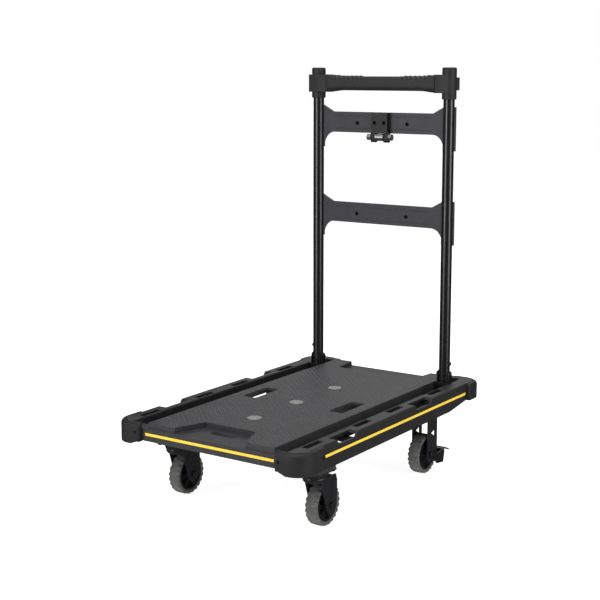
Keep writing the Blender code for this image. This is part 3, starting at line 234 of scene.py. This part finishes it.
def wear_and_highlight_edge_mask(tree, reach, amount, patch):
    """White where an edge is near, broken up by a patchy pattern; it places the wear and the
    painted edge highlight.
    """
    soft = add_node(tree, "ShaderNodeBevel", Radius=reach)
    soft.samples = 4
    true_way = tree.nodes.new("ShaderNodeNewGeometry")
    compare = tree.nodes.new("ShaderNodeVectorMath")
    compare.operation = "DOT_PRODUCT"
    tree.links.new(soft.outputs["Normal"], compare.inputs[0])
    tree.links.new(true_way.outputs["Normal"], compare.inputs[1])
    spread = add_node(tree, "ShaderNodeMapRange", From_Min=0.995, From_Max=0.90)
    spread.inputs["To Max"].default_value = amount
    tree.links.new(compare.outputs["Value"], spread.inputs["Value"])
    broken = tree.nodes.new("ShaderNodeMath")
    broken.operation = "MULTIPLY"
    tree.links.new(spread.outputs["Result"], broken.inputs[0])
    tree.links.new(patch, broken.inputs[1])
    return broken.outputs["Value"]


def finish_recipe(name, colour, wear_and_highlight_colour, shine, grain, drift=(0.14, 30.0), wear_and_highlight_edge=(0.0012, 0.9),
                  metallic=0.0, coat=0.0, sheen_spread=0.05, specular=0.4):
    """A finish: colour, edge colour of wear and painted highlight, roughness, (grain size, height)
    and metallic share.
    """
    finish = bpy.data.materials.new(name)
    finish.use_nodes = True
    tree = finish.node_tree
    paint = tree.nodes["Principled BSDF"]
    paint.inputs["Metallic"].default_value = metallic
    paint.inputs["Coat Weight"].default_value = coat
    paint.inputs["Coat Roughness"].default_value = 0.12
    paint.inputs["Specular IOR Level"].default_value = specular
    place = tree.nodes.new("ShaderNodeTexCoord").outputs["Object"]
    tone, patch = tone_pair(tree, colour, drift[0], drift[1], place)
    # The base colour is mixed towards the edge colour: handling wear plus a painted highlight on
    # the edges.
    blend = tree.nodes.new("ShaderNodeMix")
    blend.data_type = "RGBA"
    blend.inputs["B"].default_value = (*wear_and_highlight_colour, 1.0)
    tree.links.new(wear_and_highlight_edge_mask(tree, wear_and_highlight_edge[0], wear_and_highlight_edge[1], patch), blend.inputs["Factor"])
    tree.links.new(tone, blend.inputs["A"])
    tree.links.new(blend.outputs["Result"], paint.inputs["Base Color"])
    sheen = add_node(tree, "ShaderNodeMapRange", To_Min=shine - sheen_spread,
                     To_Max=shine + sheen_spread)
    tree.links.new(patch, sheen.inputs["Value"])
    tree.links.new(sheen.outputs["Result"], paint.inputs["Roughness"])
    fine = add_node(tree, "ShaderNodeTexNoise", Scale=grain[0], Detail=3.0)
    tree.links.new(place, fine.inputs["Vector"])
    bump = add_node(tree, "ShaderNodeBump", Strength=grain[1], Distance=0.0004)
    tree.links.new(fine.outputs["Fac"], bump.inputs["Height"])
    tree.links.new(bump.outputs["Normal"], paint.inputs["Normal"])
    return finish


print("the recipe builds", len(finish_recipe("trial", (0.1,) * 3, (0.2,) * 3, 0.5, (900, 0.2))
                              .node_tree.nodes), "nodes")
bpy.data.materials.remove(bpy.data.materials["trial"])

# %% Finishes of the cart
# The second colour of each finish is its edge colour: wear together with a painted highlight.
finishes = {
    "deck_plastic": finish_recipe("deck_plastic", (0.038, 0.038, 0.041), (0.11, 0.11, 0.115), 0.55,
                                  (1100.0, 0.35)),
    "deck_dash": finish_recipe("deck_dash", (0.105, 0.105, 0.110), (0.19, 0.19, 0.195), 0.42,
                               (1500.0, 0.20)),
    "rail_plastic": finish_recipe("rail_plastic", (0.020, 0.020, 0.022), (0.10, 0.10, 0.10), 0.50,
                                  (1400.0, 0.25)),
    "bumper_rubber": finish_recipe("bumper_rubber", (0.018, 0.018, 0.019),
                                   (0.075, 0.075, 0.075), 0.60, (900.0, 0.30)),
    "grip_plastic": finish_recipe("grip_plastic", (0.016, 0.016, 0.017),
                                  (0.055, 0.055, 0.055), 0.52, (1600.0, 0.22)),
    "black_tube": finish_recipe("black_tube", (0.003, 0.003, 0.0035), (0.02, 0.02, 0.02), 0.30,
                                (60.0, 0.0), wear_and_highlight_edge=(0.0003, 0.3), sheen_spread=0.005, specular=1.0),
    "black_steel": finish_recipe("black_steel", (0.008, 0.008, 0.009), (0.045, 0.045, 0.045), 0.38,
                                 (700.0, 0.10), coat=0.1),
    "brace_steel": finish_recipe("brace_steel", (0.036, 0.036, 0.043), (0.10, 0.10, 0.11), 0.46,
                                 (1300.0, 0.14)),
    "fork_steel": finish_recipe("fork_steel", (0.014, 0.014, 0.016), (0.07, 0.07, 0.07), 0.40,
                                (800.0, 0.12), coat=0.1),
    "hub_plastic": finish_recipe("hub_plastic", (0.007, 0.007, 0.008), (0.035, 0.035, 0.035), 0.45,
                                 (900.0, 0.15)),
    "tyre_rubber": finish_recipe("tyre_rubber", (0.105, 0.105, 0.101), (0.17, 0.17, 0.165), 0.78,
                                 (700.0, 0.55), drift=(0.25, 55.0)),
    "pale_pad": finish_recipe("pale_pad", (0.27, 0.27, 0.255), (0.18, 0.18, 0.17), 0.60,
                              (1500.0, 0.20)),
    # Near black with little shine: the screws' own black, deepened as painted shade so that sunk
    # screws look like deep holes.
    "black_screw_and_hole_shade": finish_recipe("black_screw_and_hole_shade", (0.002, 0.002, 0.002),
                                  (0.012, 0.012, 0.012), 0.60, (900.0, 0.10), specular=0.12),
    "zinc": finish_recipe("zinc", (0.62, 0.62, 0.60), (0.80, 0.80, 0.78), 0.34, (500.0, 0.05),
                          metallic=1.0),
    "dark_zinc": finish_recipe("dark_zinc", (0.16, 0.16, 0.16), (0.45, 0.45, 0.44), 0.34,
                               (500.0, 0.14), metallic=1.0),
}
print("finishes:", ", ".join(finishes))

# %% [markdown]
# ## Yellow strip finish
#
# The inlaid strips are a bright film with faint slanted bands. A wave pattern that runs across
# the strip's length at a slant gives the bands, and a low roughness gives the film its gloss.

# %% Yellow strip finish


def yellow_strip_finish():
    finish = bpy.data.materials.new("yellow_strip")
    finish.use_nodes = True
    tree = finish.node_tree
    paint = tree.nodes["Principled BSDF"]
    paint.inputs["Roughness"].default_value = 0.38
    paint.inputs["Coat Weight"].default_value = 0.3
    place = tree.nodes.new("ShaderNodeTexCoord").outputs["Object"]
    bands = add_node(tree, "ShaderNodeTexWave", Scale=60.0, Distortion=0.3)
    bands.bands_direction = "DIAGONAL"
    tree.links.new(place, bands.inputs["Vector"])
    ramp = tree.nodes.new("ShaderNodeValToRGB")
    ramp.color_ramp.elements[0].color = (0.95, 0.62, 0.035, 1.0)
    ramp.color_ramp.elements[1].color = (1.0, 0.70, 0.055, 1.0)
    tree.links.new(bands.outputs["Fac"], ramp.inputs["Fac"])
    tree.links.new(ramp.outputs["Color"], paint.inputs["Base Color"])
    bump = add_node(tree, "ShaderNodeBump", Strength=0.08, Distance=0.0003)
    tree.links.new(bands.outputs["Fac"], bump.inputs["Height"])
    tree.links.new(bump.outputs["Normal"], paint.inputs["Normal"])
    return finish


finishes["yellow_strip"] = yellow_strip_finish()
print("strip finish ready")

# %% [markdown]
# ## Give every working part its finish
#
# The imported record says which finish each part takes. The parts keep their own meshes: only the
# material in their slot changes. The axle bolts take a darker zinc than the rest. The two screws of
# the hook block are blackened past their own black, as painted shade, so that they look like deep
# round holes.

# %% Paint the working parts
own_finish = {f"{wheel}_axle": "dark_zinc" for wheel in WHEELS}
# The hook-block screws take the near-black finish: their extra darkness is painted shade of a deep
# hole.
own_finish.update({f"hitch_screw_{side}": "black_screw_and_hole_shade" for side in SIDES})
for entry in frame["record"]["subparts"]:
    part = frame["nodes"][entry["node"]]
    part.data.materials.clear()
    part.data.materials.append(finishes[own_finish.get(entry["node"], entry["material_slot"])])

# %% [markdown]
# ## Round the hard edges
#
# A working part has knife-sharp edges, but a real moulding or a pressed plate never has. Three
# modifiers fix that without touching the mesh: Weld joins its loose corners, Decimate merges the
# triangles of each flat face, and Bevel then rounds every edge sharper than a set angle.

# %% Round the hard edges


def soften(part, width, segments=2, angle=32.0):
    """Round the edges of a working part by modifiers."""
    item = frame["nodes"][part]
    if "custom_normal" in item.data.attributes:
        item.data.attributes.remove(item.data.attributes["custom_normal"])
    item.data.shade_smooth()
    weld = item.modifiers.new("join_corners", "WELD")
    weld.merge_threshold = 0.00001
    merge = item.modifiers.new("merge_flat", "DECIMATE")
    merge.decimate_type = "DISSOLVE"
    merge.angle_limit = radians(0.6)
    bevel = item.modifiers.new("round_edges", "BEVEL")
    bevel.width = width
    bevel.segments = segments
    bevel.limit_method = "ANGLE"
    bevel.angle_limit = radians(angle)
    bevel.harden_normals = True
    bevel.use_clamp_overlap = True


EDGE_WIDTHS = {
    0.0014: ["side_rail_left", "side_rail_right", "grip_end_left", "grip_end_right"],
    0.0030: ["bumper_front_left", "bumper_front_right", "bumper_rear_left", "bumper_rear_right"],
    0.0010: ["deck", "hitch_block", "upper_brace", "lower_brace"],
    0.0006: ["hinge_bracket_left", "hinge_bracket_right", "front_left_plate", "front_right_plate",
             "front_left_fork", "front_right_fork", "rear_left_fork", "rear_right_fork",
             "rear_left_brake", "rear_right_brake", "hitch_nut", "hitch_bolt", "hitch_spacer"],
    0.0004: ["front_left_axle", "front_right_axle", "rear_left_axle", "rear_right_axle",
             "strip_left", "strip_right", "strip_front", "hitch_screw_left", "hitch_screw_right"],
    0.0003: ["post_left", "post_right", "sleeve_left", "sleeve_right", "front_left_raceway",
             "front_right_raceway", "pivot_bolt_left", "pivot_bolt_right", "lock_button_left",
             "lock_button_right"],
}
for edge_width, parts in EDGE_WIDTHS.items():
    for part_name in parts:
        soften(part_name, edge_width, 3 if edge_width > 0.002 else 2)
print("softened", sum(len(parts) for parts in EDGE_WIDTHS.values()), "parts")

# %% [markdown]
# ## Making new pieces
#
# Where a working part is too plain, a new piece stands in for it, or sits on it. Each new piece
# is a bmesh turned into an object, and it rides on the body that carries the real piece.

# %% Making new pieces


def dress(name, shape, body, finish, stands_for=(), smooth=38.0, at=(0.0, 0.0, 0.0)):
    """Turn a bmesh into a finished piece that rides on a body."""
    bmesh.ops.recalc_face_normals(shape, faces=shape.faces)
    data = bpy.data.meshes.new(name)
    shape.to_mesh(data)
    shape.free()
    data.materials.append(finishes[finish])
    data.shade_smooth()
    data.set_sharp_from_angle(angle=radians(smooth))
    made = bpy.data.objects.new(name, data)
    made.location = at
    bpy.context.scene.collection.objects.link(made)
    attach(made, body)
    if stands_for:
        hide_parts(*stands_for)
    return made


def ring_points(rule, steps):
    """Profiles all round an axis; rule(angle) gives (radius, along) points."""
    return [[(radius * cos(tau * step / steps), radius * sin(tau * step / steps), along)
             for radius, along in rule(tau * step / steps)] for step in range(steps)]


def spun(rule, steps, closed=True):
    """Skin the profiles round Z. A closed profile makes a ring; an open one ends on the axis."""
    shape = bmesh.new()
    rows = ring_points(rule, steps)
    count = len(rows[0])
    ends = () if closed else (0, count - 1)
    poles = {index: shape.verts.new(rows[0][index]) for index in ends}
    grid = [[poles.get(index) or shape.verts.new(point) for index, point in enumerate(row)]
            for row in rows]
    for step in range(steps):
        here, there = grid[step], grid[(step + 1) % steps]
        for index in range(count if closed else count - 1):
            follow = (index + 1) % count
            corners = dict.fromkeys((here[index], there[index], there[follow], here[follow]))
            shape.faces.new(list(corners))
    return shape


def lay_across(shape):
    """Turn a shape made round Z so that its axis lies along X."""
    for vert in shape.verts:
        vert.co = (vert.co.z, vert.co.x, vert.co.y)
    return shape


def skinned(rings):
    """Skin a row of closed rings with the same number of points, and close both ends."""
    shape = bmesh.new()
    rows = [[shape.verts.new(point) for point in ring] for ring in rings]
    count = len(rows[0])
    for here, there in zip(rows, rows[1:]):
        for index in range(count):
            follow = (index + 1) % count
            shape.faces.new((here[index], here[follow], there[follow], there[index]))
    shape.faces.new(rows[0])
    shape.faces.new(rows[-1])
    return shape


def merged(shapes):
    """Put several bmeshes into one."""
    whole = bmesh.new()
    for shape in shapes:
        data = bpy.data.meshes.new("scratch")
        shape.to_mesh(data)
        shape.free()
        whole.from_mesh(data)
        bpy.data.meshes.remove(data)
    return whole


def shifted(shape, offset):
    bmesh.ops.translate(shape, verts=shape.verts, vec=Vector(offset))
    return shape


print("piece tools ready")

# %% [markdown]
# ## Grip pattern on the deck
#
# The load surface is moulded with thousands of short raised dashes that stop boxes from sliding.
# They are real geometry here, because a bump alone looks flat from a low angle. Each dash is a
# small lozenge, and neighbours point opposite ways. The deck itself says where a dash fits: a ray
# is dropped at each of its ends, and the dash stays only if every ray lands on the flat top. None
# stand where the end blocks of the grip come to rest when the handle is folded down.

# %% Grip pattern on the deck
DASH_PITCH = 0.0080
DASH_HALF_LENGTH = 0.0034
DASH_HALF_WIDTH = 0.0012
DASH_HEIGHT = 0.0007
DASH_MARGIN = 0.0035
DASH_CREST = 0.55
DASH_ROOT = 0.0001
PATTERN_INSET_X = 0.004
PATTERN_INSET_Y = 0.011


def part_tree(part):
    """A search tree of a working part's own faces."""
    data = frame["nodes"][part].data
    corners = [vert.co for vert in data.vertices]
    return BVHTree.FromPolygons(corners, [list(face.vertices) for face in data.polygons])


deck_faces = part_tree("deck")
ray_start = deck_top + 0.02


def on_flat_top(x, y):
    hit = deck_faces.ray_cast(Vector((x, y, ray_start)), Vector((0.0, 0.0, -1.0)))
    return hit[0] is not None and abs(hit[0].z - deck_top) < 0.0002


def grip_landing(side):
    """Where an end block of the grip lies once the handle is folded: two X and two Y limits."""
    block_low, block_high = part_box(f"grip_end_{side}")
    pivot = middle(f"pivot_bolt_{side}")
    return (block_low.x - DASH_MARGIN, block_high.x + DASH_MARGIN,
            pivot.y - (block_high.z - pivot.z) - DASH_MARGIN,
            pivot.y - (block_low.z - pivot.z) + DASH_MARGIN)


def dash_corners(x, y, slant, scale):
    """Four corners of a lozenge that points along the slant."""
    along = Vector((cos(slant), sin(slant), 0.0)) * DASH_HALF_LENGTH * scale
    across = Vector((-sin(slant), cos(slant), 0.0)) * DASH_HALF_WIDTH * scale
    centre = Vector((x, y, 0.0))
    return [centre + along, centre + across, centre - along, centre - across]


def grip_pattern():
    shape = bmesh.new()
    plateau_x = low("hinge_bracket_right").x - PATTERN_INSET_X
    plateau_y = high("deck").y - PATTERN_INSET_Y
    columns = int(plateau_x / DASH_PITCH)
    rows = int(plateau_y / DASH_PITCH)
    pads = [middle(f"pad_{place}") for place in ("front", "middle", "rear")]
    pad_reach = (high("pad_front").x - low("pad_front").x) / 2 + DASH_MARGIN
    landings = [grip_landing(side) for side in SIDES]
    lift = Vector((0.0, 0.0, deck_top - DASH_ROOT))
    top = Vector((0.0, 0.0, deck_top + DASH_HEIGHT))
    for column in range(-columns, columns + 1):
        for row in range(-rows, rows + 1):
            x, y = column * DASH_PITCH, row * DASH_PITCH
            if any(hypot(x - pad.x, y - pad.y) < pad_reach for pad in pads):
                continue
            if any(left < x < right and near < y < far for left, right, near, far in landings):
                continue
            reach = (DASH_MARGIN, -DASH_MARGIN)
            if not all(on_flat_top(x + dx, y + dy) for dx in reach for dy in reach):
                continue
            slant = radians(45.0 if (column + row) % 2 else -45.0)
            base = [shape.verts.new(point + lift) for point in dash_corners(x, y, slant, 1.0)]
            crest = [shape.verts.new(point + top)
                     for point in dash_corners(x, y, slant, DASH_CREST)]
            shape.faces.new(crest)
            for index in range(4):
                follow = (index + 1) % 4
                shape.faces.new((base[index], base[follow], crest[follow], crest[index]))
            shape.faces.new(base[::-1])
    return shape


pattern = dress("deck_grip_pattern", grip_pattern(), "base", "deck_dash", smooth=20.0)
print("dashes:", len(pattern.data.polygons) // 6)

# %% [markdown]
# ## Round pads
#
# Three pale discs sit in shallow seats down the middle of the deck. Each is turned from a
# profile with a crowned face and one shallow ring groove. Thirty-six short rays mark a plain
# dial, which breaks up the flat face.

# %% Round pads
PAD_RAYS = 36


def pad_profile(radius, bottom, crown):
    def rule(angle):
        ray = 0.00012 * (0.5 + 0.5 * cos(angle * PAD_RAYS))
        return [(0.0, bottom), (radius, bottom), (radius, crown - 0.0004), (radius - 0.0006, crown),
                (radius * 0.86, crown), (radius * 0.82, crown - 0.0003),
                (radius * 0.78, crown - ray), (radius * 0.45, crown - ray),
                (radius * 0.40, crown - 0.0003), (radius * 0.3, crown), (0.0, crown + 0.0001)]
    return rule


for place in ("front", "middle", "rear"):
    node = f"pad_{place}"
    size = high(node) - low(node)
    disc = spun(pad_profile(size.x / 2, -size.z / 2, size.z / 2), 72, closed=False)
    dress(f"deck_{node}", disc, "base", "pale_pad", [node], at=middle(node))
print("three pads turned")

# %% [markdown]
# ## Screws
#
# The bumpers, braces and caster plates are held by screws. One turned head serves them all: a
# flat button with a hexagon socket. The socket is a ring whose radius follows a hexagon.

# %% Screws


def hexagon(angle, flat):
    """Radius of a hexagon with the given half width across its flats."""
    sector = (angle + pi / 6) % (pi / 3) - pi / 6
    return flat / cos(sector)


def socket_head(radius, height):
    """A button head with a hexagon socket; its seat is at zero and it rises along Z."""
    def rule(angle):
        socket = hexagon(angle, radius * 0.42)
        return [(0.0, 0.0), (radius, 0.0), (radius, height * 0.45), (radius * 0.86, height * 0.85),
                (radius * 0.66, height), (socket, height), (socket * 0.96, height * 0.35),
                (0.0, height * 0.30)]
    return spun(rule, 36, closed=False)


def hex_head(radius, height):
    """A plain hexagon bolt head on a round washer."""
    def rule(angle):
        side = hexagon(angle, radius * 0.80)
        return [(0.0, 0.0), (radius * 1.15, 0.0), (radius * 1.15, height * 0.2),
                (side, height * 0.2), (side, height * 0.86), (side * 0.9, height), (0.0, height)]
    return spun(rule, 36, closed=False)


def facing(shape, way):
    """Turn a shape that rises along Z to rise along another direction."""
    turn = Vector(way).to_track_quat("Z", "Y").to_matrix()
    bmesh.ops.rotate(shape, verts=shape.verts, matrix=turn)
    return shape


def screw_set(name, spots, way, body, head, finish):
    """Several equal heads as one piece."""
    heads = [shifted(facing(head(), way), spot) for spot in spots]
    return dress(name, merged(heads), body, finish)


print("screw heads ready")

# %% Bumper screws
BUMPER_SCREW_INSET = 0.011
BUMPER_SCREW_DROP = 0.022
BUMPER_SCREW_SINK = 0.0012
BUMPER_SCREW = (0.0042, 0.0018)
for end, end_way in (("front", -1), ("rear", 1)):
    for side, way in SIDES.items():
        corner_low, corner_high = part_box(f"bumper_{end}_{side}")
        inner_x = corner_low.x if way > 0 else corner_high.x
        inner_y = corner_high.y if end_way < 0 else corner_low.y
        outer_x = corner_high.x if way > 0 else corner_low.x
        outer_y = corner_low.y if end_way < 0 else corner_high.y
        height = corner_high.z - BUMPER_SCREW_DROP
        end_spot = (inner_x + way * BUMPER_SCREW_INSET,
                    outer_y - end_way * BUMPER_SCREW_SINK, height)
        side_spot = (outer_x - way * BUMPER_SCREW_SINK,
                     inner_y + end_way * BUMPER_SCREW_INSET, height)
        for face, spot, facing_way in (("end", end_spot, (0, end_way, 0)),
                                       ("side", side_spot, (way, 0, 0))):
            screw_set(f"bumper_screw_{end}_{side}_{face}", [spot], facing_way, "base",
                      lambda: socket_head(*BUMPER_SCREW), "black_screw_and_hole_shade")
print("bumper screws set")

# %% [markdown]
# ## Braces
#
# Each brace is a pressed plate with a long raised panel, drawn by two thin beads, and two small
# ringed screws. The beads are pressed into the real plate; here they are slim half-round bars
# laid on its face, which catch the light the same way.

# %% Brace beads and screws
BRACE_HEIGHT = 0.054
BRACE_FLARE_DOWN = 0.040
BEAD_RADIUS = 0.0010
BEAD_INSET = 0.052
BEAD_SHARE = 0.30
SCREW_SPREAD = 0.075
SCREW_DROP = 0.002
BRACE_SCREW = (0.0050, 0.0020)


def bead(start, end, radius, steps=8):
    """A straight bar of round section between two points with the same height."""
    turns = [tau * index / steps for index in range(steps)]
    ring = [(0.0, radius * cos(turn), radius * sin(turn)) for turn in turns]
    ends = [[Vector(point) + Vector(place) for point in ring] for place in (start, end)]
    return skinned(ends)


for brace in ("upper_brace", "lower_brace"):
    face_y = low(brace).y
    band_z = low(brace).z + BRACE_FLARE_DOWN + BRACE_HEIGHT / 2
    reach = post_x - BEAD_INSET
    rows = [band_z + BRACE_HEIGHT * share for share in (-BEAD_SHARE, BEAD_SHARE)]
    beads = [bead((-reach, face_y, z), (reach, face_y, z), BEAD_RADIUS) for z in rows]
    dress(f"{brace}_beads", merged(beads), "handle", "brace_steel")
    spots = [(way * SCREW_SPREAD, face_y, band_z - SCREW_DROP) for way in (-1, 1)]
    screw_set(f"{brace}_screws", spots, (0, -1, 0), "handle", lambda: socket_head(*BRACE_SCREW),
              "black_screw_and_hole_shade")
print("braces dressed")

# %% [markdown]
# ## Grip bar
#
# The bar is thicker at both ends, with finger ribs on top near the ends and a shallow groove
# along its face. It is skinned over many cross sections: each section is a rounded rectangle
# whose height and top edge depend on its place along the bar.

# %% Grip bar
RIB_PITCH = 0.0135
RIB_HEIGHT = 0.0022
BAR_STEP = 0.0018
SECTION_STEPS = 6
BAR_SLIMMING = 0.0040
BAR_FLARE = 0.045
BAR_CORNER = 0.012
GROOVE_DEPTH = 0.0012


def rounded_section(half_y, top, bottom, radius):
    """A closed rounded rectangle in Y and Z."""
    points = []
    corners = ((half_y, bottom, -pi / 2), (half_y, top, 0.0), (-half_y, top, pi / 2),
               (-half_y, bottom, pi))
    for corner_y, corner_z, start in corners:
        centre_y = corner_y - radius if corner_y > 0 else corner_y + radius
        centre_z = corner_z - radius if corner_z > 0 else corner_z + radius
        for step in range(SECTION_STEPS + 1):
            angle = start + pi / 2 * step / SECTION_STEPS
            points.append((centre_y + radius * cos(angle), centre_z + radius * sin(angle)))
    return points


def smooth_step(value):
    value = min(1.0, max(0.0, value))
    return value * value * (3 - 2 * value)


def rib_lift(x, half):
    """Height of the finger ribs at a place along the bar."""
    zone = smooth_step((abs(x) - half * 0.35) / 0.008) * smooth_step((half * 0.92 - abs(x)) / 0.004)
    return zone * RIB_HEIGHT * max(0.0, sin(tau * x / RIB_PITCH)) ** 0.6


def grip_bar():
    start, end = low("grip_bar").x, high("grip_bar").x
    centre = middle("grip_bar")
    half = (end - start) / 2
    deep = (high("grip_bar").y - low("grip_bar").y) / 2
    tall = (high("grip_bar").z - low("grip_bar").z) / 2
    slim = tall - BAR_SLIMMING
    rings = []
    steps = int((end - start) / BAR_STEP)
    for step in range(steps + 1):
        x = start + (end - start) * step / steps
        flare = smooth_step((abs(x) - half + BAR_FLARE) / BAR_FLARE)
        reach = slim + (tall - slim) * flare
        top = min(reach + rib_lift(x, half), tall) - 0.0003
        section = rounded_section(deep - 0.0002, top, -reach, BAR_CORNER)
        groove = GROOVE_DEPTH * (1 - flare)
        ring = []
        for y, z in section:
            pinch = groove * max(0.0, 1 - (z / (slim * 0.25)) ** 2) if y < 0 else 0.0
            ring.append((x, centre.y + y + pinch, centre.z + z))
        rings.append(ring)
    return skinned(rings)


bar = dress("ribbed_grip_bar", grip_bar(), "handle", "grip_plastic", ["grip_bar"])
print("grip bar sections:", len(bar.data.vertices) // (4 * (SECTION_STEPS + 1)))

# %% [markdown]
# ## Wheels
#
# The grey tyres have staggered lugs on both shoulders and a plain middle band. A tyre is skinned
# round its axle: the profile's shoulder is pulled in between lugs. The black hub behind it has a
# deep dish with six spokes, made the same way, because its depth depends on the angle.

# %% Tyres
LUGS = 22
TYRE_STEPS = LUGS * 10


def lug(angle, shift):
    """One on a lug and zero between two lugs."""
    wave = cos(angle * LUGS + shift)
    return smooth_step(0.75 + wave * 1.3)


def half_tread(inner, outer, half, lift):
    """One side of the tyre from the hub to the middle band; lift is 1 on a lug, 0 beside it."""
    return [(inner, half * 0.80), (inner + 0.001, half * 0.88), (inner + 0.004, half * 0.93),
            (outer - 0.0055, half * (0.90 + 0.10 * lift)),
            (outer - 0.0030, half * (0.86 + 0.135 * lift)),
            (outer - 0.0024 + 0.0019 * lift, half * 0.80),
            (outer - 0.0016 + 0.0015 * lift, half * 0.62),
            (outer - 0.0006, half * 0.42), (outer, half * 0.30)]


def tyre_profile(inner, outer, half):
    def rule(angle):
        near = half_tread(inner, outer, half, lug(angle, 0.0))
        far = half_tread(inner, outer, -half, lug(angle, pi))
        return near + [(outer, 0.0)] + far[::-1]
    return rule


hub_outer = (high("front_left_hub").z - low("front_left_hub").z) / 2
hub_half = (high("front_left_hub").x - low("front_left_hub").x) / 2
tyre_outer = (high("front_left_tyre").z - low("front_left_tyre").z) / 2
tyre_half = (high("front_left_tyre").x - low("front_left_tyre").x) / 2
for wheel in WHEELS:
    tread = lay_across(spun(tyre_profile(hub_outer + 0.0003, tyre_outer, tyre_half), TYRE_STEPS))
    dress(f"{wheel}_lugged_tyre", tread, f"{wheel}_wheel", "tyre_rubber", [f"{wheel}_tyre"],
          at=middle(f"{wheel}_tyre"))
print("tyres made:", len(WHEELS))

# %% Hubs
SPOKES = 6
HUB_STEPS = 96
AXLE_HOLE = 0.0053


def hub_profile(half):
    rim_half = tyre_half - 0.0022

    def rule(angle):
        wave = 0.5 + 0.5 * cos(angle * SPOKES)
        dish = 0.0042 + 0.0065 * smooth_step((wave - 0.35) / 0.3)
        side = [(AXLE_HOLE, half), (0.0118, half), (0.0128, half - 0.001), (0.0140, dish + 0.004),
                (0.0165, dish + 0.001), (hub_outer - 0.0090, dish),
                (hub_outer - 0.0062, dish + 0.002), (hub_outer - 0.0048, rim_half - 0.001),
                (hub_outer - 0.0038, rim_half), (hub_outer, rim_half)]
        return side + [(radius, -along) for radius, along in reversed(side)]
    return rule


for wheel in WHEELS:
    dish = lay_across(spun(hub_profile(hub_half - 0.0006), HUB_STEPS))
    dress(f"{wheel}_spoked_hub", dish, f"{wheel}_wheel", "hub_plastic", [f"{wheel}_hub"],
          at=middle(f"{wheel}_hub"))
    rings = []
    for way in (-1, 1):
        edge = [(0.0070, hub_half - 0.0012), (0.0110, hub_half - 0.0012),
                (0.0112, hub_half - 0.0003),
                (0.0104, hub_half), (0.0076, hub_half), (0.0070, hub_half - 0.0003)]
        rings.append(lay_across(spun(lambda angle: [(r, way * x) for r, x in edge], 48)))
    dress(f"{wheel}_bearing_rings", merged(rings), f"{wheel}_wheel", "zinc",
          at=middle(f"{wheel}_hub"))
print("hubs made:", len(WHEELS))

# %% [markdown]
# ## Caster fittings
#
# Each top plate is bolted to the deck at its four corners, and a bright ring of the ball race
# shows between the fixed cup and the turning fork.

# %% Caster fittings
PLATE_BOLT_INSET = 0.0085
PLATE_THICKNESS = 0.0035
PLATE_BOLT = (0.0050, 0.0040)
RACE_RADIUS = 0.0275
RACE_WIRE = 0.0009


def plate_bolts(wheel, plate, body):
    corner_low, corner_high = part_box(plate)
    height = corner_high.z - PLATE_THICKNESS
    columns = (corner_low.x + PLATE_BOLT_INSET, corner_high.x - PLATE_BOLT_INSET)
    rows = (corner_low.y + PLATE_BOLT_INSET, corner_high.y - PLATE_BOLT_INSET)
    spots = [(x, y, height) for x in columns for y in rows]
    screw_set(f"{wheel}_plate_bolts", spots, (0, 0, -1), body, lambda: hex_head(*PLATE_BOLT),
              "dark_zinc")


for side in SIDES:
    plate_bolts(f"front_{side}", f"front_{side}_plate", "base")
    plate_bolts(f"rear_{side}", f"rear_{side}_fork", "base")
    cup = f"front_{side}_raceway"
    race = middle(cup)
    race.z = low(cup).z + RACE_WIRE
    wire = [(RACE_RADIUS + RACE_WIRE * cos(tau * i / 8), RACE_WIRE * sin(tau * i / 8))
            for i in range(8)]
    ring = spun(lambda angle: wire, 48)
    dress(f"front_{side}_race_ring", ring, "base", "dark_zinc", at=race)
print("caster fittings made")
